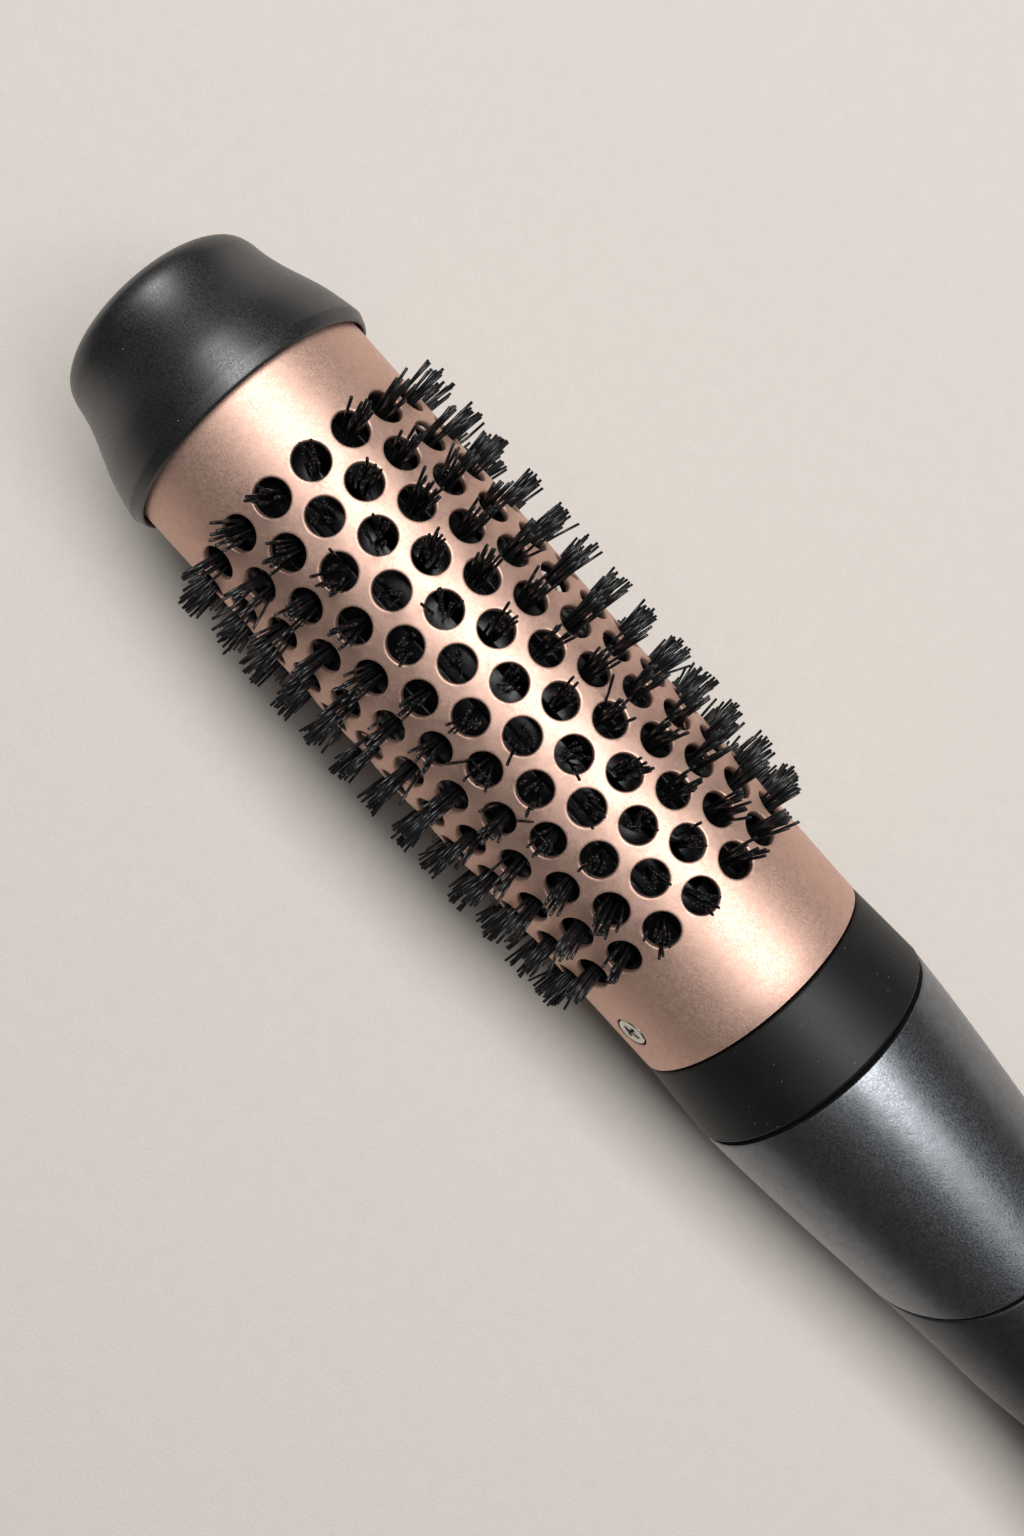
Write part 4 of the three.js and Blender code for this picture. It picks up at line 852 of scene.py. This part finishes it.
def handle_tube(start, end, spans, steps=128):
    """A length of casing whose ends follow two seams, with a rounded edge at each end."""
    shares = [(0, inset) for inset in BORDER]
    shares += [(i / spans, 0) for i in range(1, spans)]
    shares += [(1, -inset) for inset in reversed(BORDER)]
    count = len(shares)
    straight = [(i, 20) for i in range(count)] + [(i, 10) for i in reversed(range(count))]
    tube = spun(straight, steps)
    for vert in tube.verts:
        angle = math.atan2(vert.co.y, vert.co.z - AXIS_Z)
        outer = math.hypot(vert.co.y, vert.co.z - AXIS_Z) > 15 * MM
        share, offset = shares[round((TIP_X - vert.co.x) / MM)]
        distance = start(angle) * (1 - share) + end(angle) * share + offset
        drop = rounding(abs(offset)) if share in (0, 1) else 0
        vert.co = on_handle(distance, angle, drop if outer else CASING_WALL)
    return tube


GUNMETAL = grained_material(
    "gunmetal", (0.160, 0.168, 0.179), (0.206, 0.216, 0.229), 0.35, 0.95, 0.28, 0.017, 1.6, 0.10,
)
front = handle_tube(lambda angle: 0.0, lambda angle: seam_distance(FRONT_SEAM, angle), 14)
wall = spun([
    (HANDLE_START + 0.35, 17.7), (HANDLE_START + 2.5, 17.7), (HANDLE_START + 2.5, NOZZLE_BORE),
    (WALL_START, NOZZLE_BORE), (WALL_START, 15.4), (HANDLE_START + 0.35, 15.4),
])
soften(wall, 0.15)
add_lugs(wall, (WALL_START, WALL_START + 1.6), (14.7, 17.14), math.pi / LUG_COUNT)
merge(front, wall)
piece("front_shell", front, GUNMETAL, "handle", ["front_casing"])


# ---- Grip shells --------------------------------------------------------------------------------
# Two shells meet on a fine parting line and leave an oval opening for the controls on one side. They
# are painted the same gunmetal, in a slightly duller coat.

PANEL_CENTRE = 81
PANEL_HALF_LENGTH = 28
PANEL_HALF_WIDTH = 8.5
PARTING = 0.15
GRIP_ROWS = 44
OPENING_SPANS = 28
GRIP_SCREWS = (60, 108)
GRIP_SCREW_SIDE = 8
GRIP_SCREW_CLEAR = 10.9


def flat_blank(columns, rows):
    """A flat slab of unit size, one face at z = 0 and the other at z = -1, divided into a grid."""
    blank = bmesh.new()
    bmesh.ops.create_grid(blank, x_segments=columns, y_segments=rows, size=0.5)
    bmesh.ops.translate(blank, vec=(0.5, 0.5, 0), verts=blank.verts[:])
    under = bmesh.ops.extrude_face_region(blank, geom=blank.faces[:], use_keep_orig=True)["geom"]
    bmesh.ops.translate(blank, vec=(0, 0, -1), verts=only_verts(under))
    bmesh.ops.recalc_face_normals(blank, faces=blank.faces[:])
    return blank


def opening_edge(distance):
    """The angle of the shell's edge on the control side, from the top: less where the opening is."""
    across = 1 - ((distance - PANEL_CENTRE) / PANEL_HALF_LENGTH) ** 2
    half = max(PANEL_HALF_WIDTH * math.sqrt(max(across, 0)), PARTING)
    return math.acos(half / handle_radius(distance))


def grip_shell(side):
    """One shell, the upper with side = 1 and the lower with side = -1."""
    before = [(0, 0, i) for i in BORDER] + [(0, i / 8, 0) for i in range(1, 8)]
    across = [(1, (1 - math.cos(math.pi * i / OPENING_SPANS)) / 2, 0) for i in range(OPENING_SPANS + 1)]
    after = [(2, i / 4, 0) for i in range(1, 4)] + [(2, 1, -i) for i in reversed(BORDER)]
    columns = before + across + after
    last_row = GRIP_ROWS + 4
    blank = flat_blank(len(columns) - 1, last_row)
    opening_start = PANEL_CENTRE - PANEL_HALF_LENGTH
    opening_end = PANEL_CENTRE + PANEL_HALF_LENGTH
    for vert in blank.verts:
        zone, share, offset = columns[round(vert.co.x * (len(columns) - 1))]
        row = round(vert.co.y * last_row)
        inset = {0: 0.0, 1: 0.1, last_row - 1: 0.1, last_row: 0.0}.get(row, EDGE_ROUND)
        even = min(max(row - 2, 0), GRIP_ROWS) / GRIP_ROWS
        far = -math.acos(PARTING / WAIST_RADIUS)
        angle = far + even * (math.pi / 2 - far)
        if zone == 0:
            start = seam_distance(FRONT_SEAM, angle if side > 0 else math.pi - angle, SEAM_GAP)
            distance = start + (opening_start - start) * share + offset
        elif zone == 1:
            distance = opening_start + (opening_end - opening_start) * share
        else:
            end = seam_distance(REAR_SEAM, angle if side > 0 else math.pi - angle)
            distance = opening_end + (end - opening_end) * share + offset
        near = opening_edge(distance)
        side_round = EDGE_ROUND if zone == 1 and 0 < share < 1 and row > GRIP_ROWS / 2 else 0.12
        inset_angle = EDGE_ROUND / handle_radius(distance)
        if row <= 1:
            angle = far + row * inset_angle * 0.4
        elif row >= last_row - 1:
            angle = near - (last_row - row) * inset_angle * 0.4
        else:
            angle = far + inset_angle + even * (near - far - 2 * inset_angle)
        end_drop = rounding(abs(offset)) if share in (0, 1) and zone != 1 else 0
        side_drop = rounding(min(inset, side_round), side_round)
        depth = max(end_drop, side_drop) if vert.co.z > -0.5 else CASING_WALL
        x, y, z = on_handle(distance, angle, depth)
        vert.co = (x, y, AXIS_Z + side * (z - AXIS_Z))
    bmesh.ops.remove_doubles(blank, verts=blank.verts[:], dist=0.0005 * MM)
    bmesh.ops.recalc_face_normals(blank, faces=blank.faces[:])
    return blank


GUNMETAL_GRIP = grained_material(
    "gunmetal_grip", (0.066, 0.069, 0.074), (0.086, 0.090, 0.096), 0.42, 0.92, 0.28, 0.015, 1.6, 0.09,
)
piece("grip_top", grip_shell(1), GUNMETAL_GRIP, "handle", ["grip_upper"])
piece("grip_bottom", grip_shell(-1), GUNMETAL_GRIP, "handle", ["grip_lower"])
for index, distance in enumerate(GRIP_SCREWS):
    reach = handle_radius(distance) - CASING_WALL / 2
    depth = math.sqrt(reach ** 2 - GRIP_SCREW_CLEAR ** 2)
    place = (
        Matrix.Translation((at(HANDLE_START + distance), -GRIP_SCREW_SIDE * MM, 0))
        @ Matrix.Translation((0, 0, AXIS_Z - (depth - 0.6) * MM))
        @ Matrix.Scale(MM, 4) @ Matrix.Rotation(math.pi, 4, "X") @ Matrix.Rotation(0.7 * index, 4, "Z")
    )
    node = f"shell_screw_{index + 1}"
    piece(f"grip_screw_{index + 1}", cross_head_screw(2 * depth - 3, place), SCREW_NICKEL, "handle",
          [node])


# ---- Controls -----------------------------------------------------------------------------------
# A sunken black panel fills the oval opening. A ribbed slider sets the heat and speed, and a round
# sprung button behind it gives cool air. Their switches stand on a small circuit board.

PANEL_RECESS = 1.6
PANEL_THICKNESS = 1.5
PANEL_GAP = 0.3
SLIDER_AT = 84
SLIDER_TRAVEL = 10
BUTTON_AT = 98
BUTTON_RADIUS = 3.4


def rounded_slot(start, end, half, count=10):
    """The outline of a slot with round ends, along the handle."""
    points = []
    for centre, offset in ((end, -math.pi / 2), (start, math.pi / 2)):
        for i in range(count + 1):
            angle = offset + math.pi * i / count
            points.append((centre + half * math.cos(angle), half * math.sin(angle)))
    return points


def control_panel():
    """The panel, cut out flat in distances behind the rim and then raised to the handle's curve."""
    panel = bmesh.new()
    angles = [2 * math.pi * i / 96 for i in range(96)]
    long, wide = PANEL_HALF_LENGTH - PANEL_GAP, PANEL_HALF_WIDTH - PANEL_GAP
    oval = [(PANEL_CENTRE + long * math.cos(a), wide * math.sin(a)) for a in angles]
    slot = rounded_slot(SLIDER_AT - SLIDER_TRAVEL - 1, SLIDER_AT + 1, 1.45)
    hole = BUTTON_RADIUS + PANEL_GAP
    button_hole = [(BUTTON_AT + hole * math.cos(a), hole * math.sin(a)) for a in angles[::2]]
    edges = []
    for loop in (oval, slot, button_hole):
        verts = [panel.verts.new((x, y, 0)) for x, y in loop]
        edges += closed_edges(panel, verts)
    bmesh.ops.triangle_fill(panel, use_beauty=True, edges=edges)
    cuts = [((PANEL_CENTRE + 2 * i, 0, 0), (1, 0, 0)) for i in range(-13, 14)]
    cuts += [((0, 1.5 * i, 0), (0, 1, 0)) for i in range(-5, 6)]
    for point, normal in cuts:
        bmesh.ops.bisect_plane(
            panel, geom=panel.verts[:] + panel.edges[:] + panel.faces[:], dist=0.0001, plane_co=point,
            plane_no=normal,
        )
    under = bmesh.ops.extrude_face_region(panel, geom=panel.faces[:], use_keep_orig=True)["geom"]
    bmesh.ops.translate(panel, vec=(0, 0, -PANEL_THICKNESS), verts=only_verts(under))
    bmesh.ops.recalc_face_normals(panel, faces=panel.faces[:])
    rims = [e for e in panel.edges if e.calc_face_angle(0) > 1 and all(v.co.z > -0.1 for v in e.verts)]
    bmesh.ops.bevel(
        panel, geom=rims, offset=0.2, offset_type="OFFSET", segments=2, profile=0.5, affect="EDGES",
        material=-1, clamp_overlap=True,
    )
    for vert in panel.verts:
        distance, across, height = vert.co
        face = math.sqrt((handle_radius(distance) - PANEL_RECESS) ** 2 - across ** 2)
        vert.co = (at(HANDLE_START + distance), (face + height) * MM, AXIS_Z + across * MM)
    bmesh.ops.recalc_face_normals(panel, faces=panel.faces[:])
    return panel


piece("switch_panel", control_panel(), DARK_PLASTIC, "handle", ["control_panel"])


def slider_knob():
    """The knob: a low ribbed block, its side outline drawn across and given its width."""
    knob = bmesh.new()
    low, high = 13.35, 15.1
    half, side = 5.0, 3.5
    outline = [(-half, low), (-half, low + 0.9)]
    for i in range(41):
        t = -1 + i / 20
        rib = 0.22 * (1 - math.cos(5 * math.pi * (t + 1))) / 2 if abs(t) < 0.8 else 0
        outline.append((t * (half - 0.35), high - 0.35 * t ** 2 - 0.3 + rib))
    outline += [(half, low + 0.9), (half, low)]
    centre = HANDLE_START + SLIDER_AT
    verts = [knob.verts.new((at(centre + s), y * MM, AXIS_Z - side * MM)) for s, y in outline]
    face = knob.faces.new(verts)
    raised = bmesh.ops.extrude_face_region(knob, geom=[face], use_keep_orig=True)["geom"]
    bmesh.ops.translate(knob, vec=(0, 0, 2 * side * MM), verts=only_verts(raised))
    bmesh.ops.recalc_face_normals(knob, faces=knob.faces[:])
    soften(knob, 0.3, 3, 40)
    for size, heights in (((3.6, 2.3), (9.8, 13.9)), ((5.6, 4.3), (9.8, 10.5))):
        stem = bmesh.ops.create_cube(knob, size=1)["verts"]
        bmesh.ops.scale(knob, vec=(size[0] * MM, (heights[1] - heights[0]) * MM, size[1] * MM), verts=stem)
        middle = (at(centre), sum(heights) / 2 * MM, AXIS_Z)
        bmesh.ops.translate(knob, vec=middle, verts=stem)
    return knob


piece("heat_slider", slider_knob(), SOFT_BLACK, "slider", ["speed_slider"])

button_x = at(HANDLE_START + BUTTON_AT)
button_line = [
    (9.8, 0.0), (9.8, 3.0), (8.4, 3.0), (8.4, 4.2), (9.3, 4.2), (9.3, BUTTON_RADIUS),
    (14.2, BUTTON_RADIUS), (14.45, 3.3), (14.6, 3.05), (14.62, 2.7), (14.5, 2.3), (14.32, 1.5),
    (14.25, 0.7), (14.22, 0.0),
]
button = spin_outline(
    [(button_x, y * MM, AXIS_Z + r * MM) for y, r in button_line], (button_x, 0, AXIS_Z), (0, 1, 0), 64,
)
piece("cool_shot_button", button, SOFT_BLACK, "button", ["cool_button"])

BOARD_GREEN = grained_material(
    "board_green", (0.020, 0.10, 0.048), (0.032, 0.15, 0.075), 0.34, 0.0, 0.6, 0.006, 3.0, 0.06,
)
finish_cad(BOARD_GREEN, "circuit_board")
finish_cad(DARK_PLASTIC, "slide_switch", "cool_switch")
finish_cad(PLAIN_STEEL, "cool_spring")


# ---- Motor housing ------------------------------------------------------------------------------
# The handle flares to the rear into one gunmetal moulding that holds the motor and the fan, and the
# intake cover snaps on its open end.

COVER_SEAM = 154

housing = handle_tube(
    lambda angle: seam_distance(REAR_SEAM, angle, SEAM_GAP), lambda angle: float(COVER_SEAM), 14,
)
piece("motor_shell", housing, GUNMETAL, "handle", ["motor_housing"])
ARMATURE_COPPER = grained_material(
    "armature_copper", (0.42, 0.17, 0.08), (0.56, 0.27, 0.14), 0.36, 1.0, 0.35, 0.02, 1.5, 0.1,
)
FAN_NYLON = grained_material(
    "fan_nylon", (0.16, 0.165, 0.175), (0.20, 0.205, 0.215), 0.46, 0.0, 0.25, 0.012, 4.0, 0.06,
)
finish_cad(DARK_PLASTIC, "motor_mount", "motor_cap")
finish_cad(PLAIN_STEEL, "motor_can", "motor_shaft")
finish_cad(ARMATURE_COPPER, "armature")

FAN_CENTRE = 285.72
FAN_RADIUS = 17.9
BLADE_COUNT = 8
BLADE_FOOT = 6.8
BLADE_SWEEP = 0.36
BLADE_HALF_CHORD = 3.0
BLADE_THICKNESS = 0.9
fan = spun([
    (FAN_CENTRE - 3.5, 1.34), (FAN_CENTRE - 3.5, 6.4), (FAN_CENTRE - 2.9, 7.0), (FAN_CENTRE + 2.6, 7.0),
    (FAN_CENTRE + 3.5, 6.0), (FAN_CENTRE + 3.5, 0.0), (FAN_CENTRE + 2.8, 0.0), (FAN_CENTRE + 2.8, 1.34),
], 48)
soften(fan, 0.2)
for index in range(BLADE_COUNT):
    blade = flat_blank(6, 6)
    for vert in blade.verts:
        along, out, under = vert.co
        radius = BLADE_FOOT + (FAN_RADIUS - BLADE_FOOT) * out
        chord = (along - 0.5) * 2
        angle = index * 2 * math.pi / BLADE_COUNT + chord * BLADE_SWEEP * (1 - 0.35 * out)
        angle -= under * BLADE_THICKNESS / radius
        x = at(FAN_CENTRE) + chord * BLADE_HALF_CHORD * MM * (1 - 0.12 * out)
        vert.co = (x, radius * math.sin(angle) * MM, AXIS_Z + radius * math.cos(angle) * MM)
    bmesh.ops.recalc_face_normals(blade, faces=blade.faces[:])
    merge(fan, blade)
piece("fan_wheel", fan, FAN_NYLON, "rotor", ["impeller"])


# ---- Rear frame, cord gland and intake cover ----------------------------------------------------
# A black frame closes the housing and holds the swivel gland of the mains cord in its hub. The slotted
# intake cover pulls off over the gland to clean the fine steel filter inside it.

FRAME_START = 280.02
FRAME_END = 295.22
HUB_WIDTH = 2
HUB_INNER = 5.38
HUB_OUTER = 7.38
SPOKE_COUNT = 4
SPOKE_FOOT = 7.2
SPOKE_TUCKED = 0.4
frame_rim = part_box("rear_frame")[1].y / MM
rear_frame = spun([
    (FRAME_START, frame_rim - 1), (FRAME_END, frame_rim - 1), (FRAME_END, frame_rim),
    (FRAME_START, frame_rim),
])
soften(rear_frame, 0.2)
hub_start = FRAME_END - HUB_WIDTH
hub = spun([(hub_start, HUB_INNER), (FRAME_END, HUB_INNER), (FRAME_END, HUB_OUTER), (hub_start, HUB_OUTER)])
soften(hub, 0.2)
spoke_end = frame_rim - SPOKE_TUCKED
spoke_size = Vector((HUB_WIDTH, HUB_WIDTH, spoke_end - SPOKE_FOOT)) * MM
spoke_centre = (at(FRAME_END - HUB_WIDTH / 2), 0, (spoke_end + SPOKE_FOOT) / 2 * MM)
for index in range(SPOKE_COUNT):
    spoke = bmesh.ops.create_cube(hub, size=1)["verts"]
    bmesh.ops.scale(hub, vec=spoke_size, verts=spoke)
    bmesh.ops.translate(hub, vec=spoke_centre, verts=spoke)
    turned = Matrix.Rotation((index + 0.5) * 2 * math.pi / SPOKE_COUNT, 3, "X")
    bmesh.ops.rotate(hub, cent=(0, 0, 0), matrix=turned, verts=spoke)
    bmesh.ops.translate(hub, vec=(0, 0, AXIS_Z), verts=spoke)
merge(rear_frame, hub)
piece("housing_frame", rear_frame, DARK_PLASTIC, "handle", ["rear_frame"])

GLAND_END = 308.42
gland = spun([
    (292.52, 3.6), (292.52, 6.6), (292.92, 6.6), (292.92, 5.0), (295.52, 5.0), (295.52, 6.0), (299.6, 6.0),
    (299.9, 5.55), (300.9, 5.55), (301.2, 5.95), (302.6, 5.9), (302.9, 5.45), (303.9, 5.45), (304.2, 5.8),
    (306.8, 5.6), (GLAND_END - 0.3, 5.2), (GLAND_END, 4.7), (GLAND_END, 3.9), (GLAND_END - 0.3, 3.6),
], 64)
soften(gland, 0.12, 2, 35)
piece("cord_swivel", gland, SOFT_BLACK, "gland", ["cord_gland"])

COVER_START = 289.92
COVER_END = 300.42
COVER_HOLE = 7.6
COVER_WALL = 1.8
COVER_FLOOR = 21.2
SLOT_COUNT = 10
SLOT_HALF_WIDTH = 1.3
CORNER_ROUND = 3
COVER_STEPS = 120


def intake_cover():
    """The cover: a turned cup whose rear face is filled round its slots and cord hole."""
    corner = [
        (COVER_END - CORNER_ROUND * (1 - math.sin(a)), REAR_RADIUS - CORNER_ROUND * (1 - math.cos(a)))
        for a in [math.pi / 2 * i / 8 for i in range(9)]
    ]
    outline = [
        (COVER_END, COVER_FLOOR), *reversed(corner[:-1]), (COVER_START + 0.3, REAR_RADIUS),
        (COVER_START + 0.06, REAR_RADIUS - 0.12), (COVER_START, REAR_RADIUS - 0.35),
        (COVER_START, REAR_RADIUS - COVER_WALL), (COVER_END - COVER_WALL, REAR_RADIUS - COVER_WALL),
        (COVER_END - COVER_WALL, COVER_FLOOR),
    ]
    cover = bmesh.new()
    verts = [cover.verts.new((at(s), 0, AXIS_Z + r * MM)) for s, r in outline]
    edges = [cover.edges.new(pair) for pair in zip(verts, verts[1:])]
    bmesh.ops.spin(
        cover, geom=verts + edges, cent=(0, 0, AXIS_Z), axis=(1, 0, 0), angle=2 * math.pi,
        steps=COVER_STEPS, use_merge=True,
    )
    bmesh.ops.remove_doubles(cover, verts=cover.verts[:], dist=0.001 * MM)
    loops = [circle_points(COVER_HOLE, 64)]
    for index in range(SLOT_COUNT):
        angle = index * 2 * math.pi / SLOT_COUNT
        slot = rounded_slot(COVER_HOLE + 3.7, COVER_FLOOR - 2.0, SLOT_HALF_WIDTH, 6)
        loops.append([(r * math.sin(angle) + w * math.cos(angle), r * math.cos(angle) - w * math.sin(angle))
                      for r, w in slot])
    walls = []
    for station in (COVER_END, COVER_END - COVER_WALL):
        rim = [e for e in cover.edges if e.is_boundary and all(abs(v.co.x - at(station)) < 0.01 * MM
                                                              for v in e.verts)]
        outlines = []
        for loop in loops:
            points = [cover.verts.new((at(station), y * MM, AXIS_Z + z * MM)) for y, z in loop]
            outlines.append(closed_edges(cover, points))
        bmesh.ops.triangle_fill(cover, use_beauty=True, edges=rim + [e for o in outlines for e in o])
        walls.append(outlines)
    for near, far in zip(*walls):
        bmesh.ops.bridge_loops(cover, edges=near + far)
    bmesh.ops.recalc_face_normals(cover, faces=cover.faces[:])
    lips = [e for outlines in walls[0] for e in outlines if e.is_valid]
    bmesh.ops.bevel(
        cover, geom=lips, offset=0.3 * MM, offset_type="OFFSET", segments=2, profile=0.5, affect="EDGES",
        material=-1, clamp_overlap=True,
    )
    return cover


piece("intake_cap", intake_cover(), DARK_PLASTIC, "cover", ["intake_cover"])
FILTER_MESH = grained_material(
    "filter_mesh", (0.20, 0.205, 0.21), (0.34, 0.345, 0.35), 0.42, 1.0, 0.4, 0.03, 2.0, 0.1,
)
finish_cad(FILTER_MESH, "intake_filter")
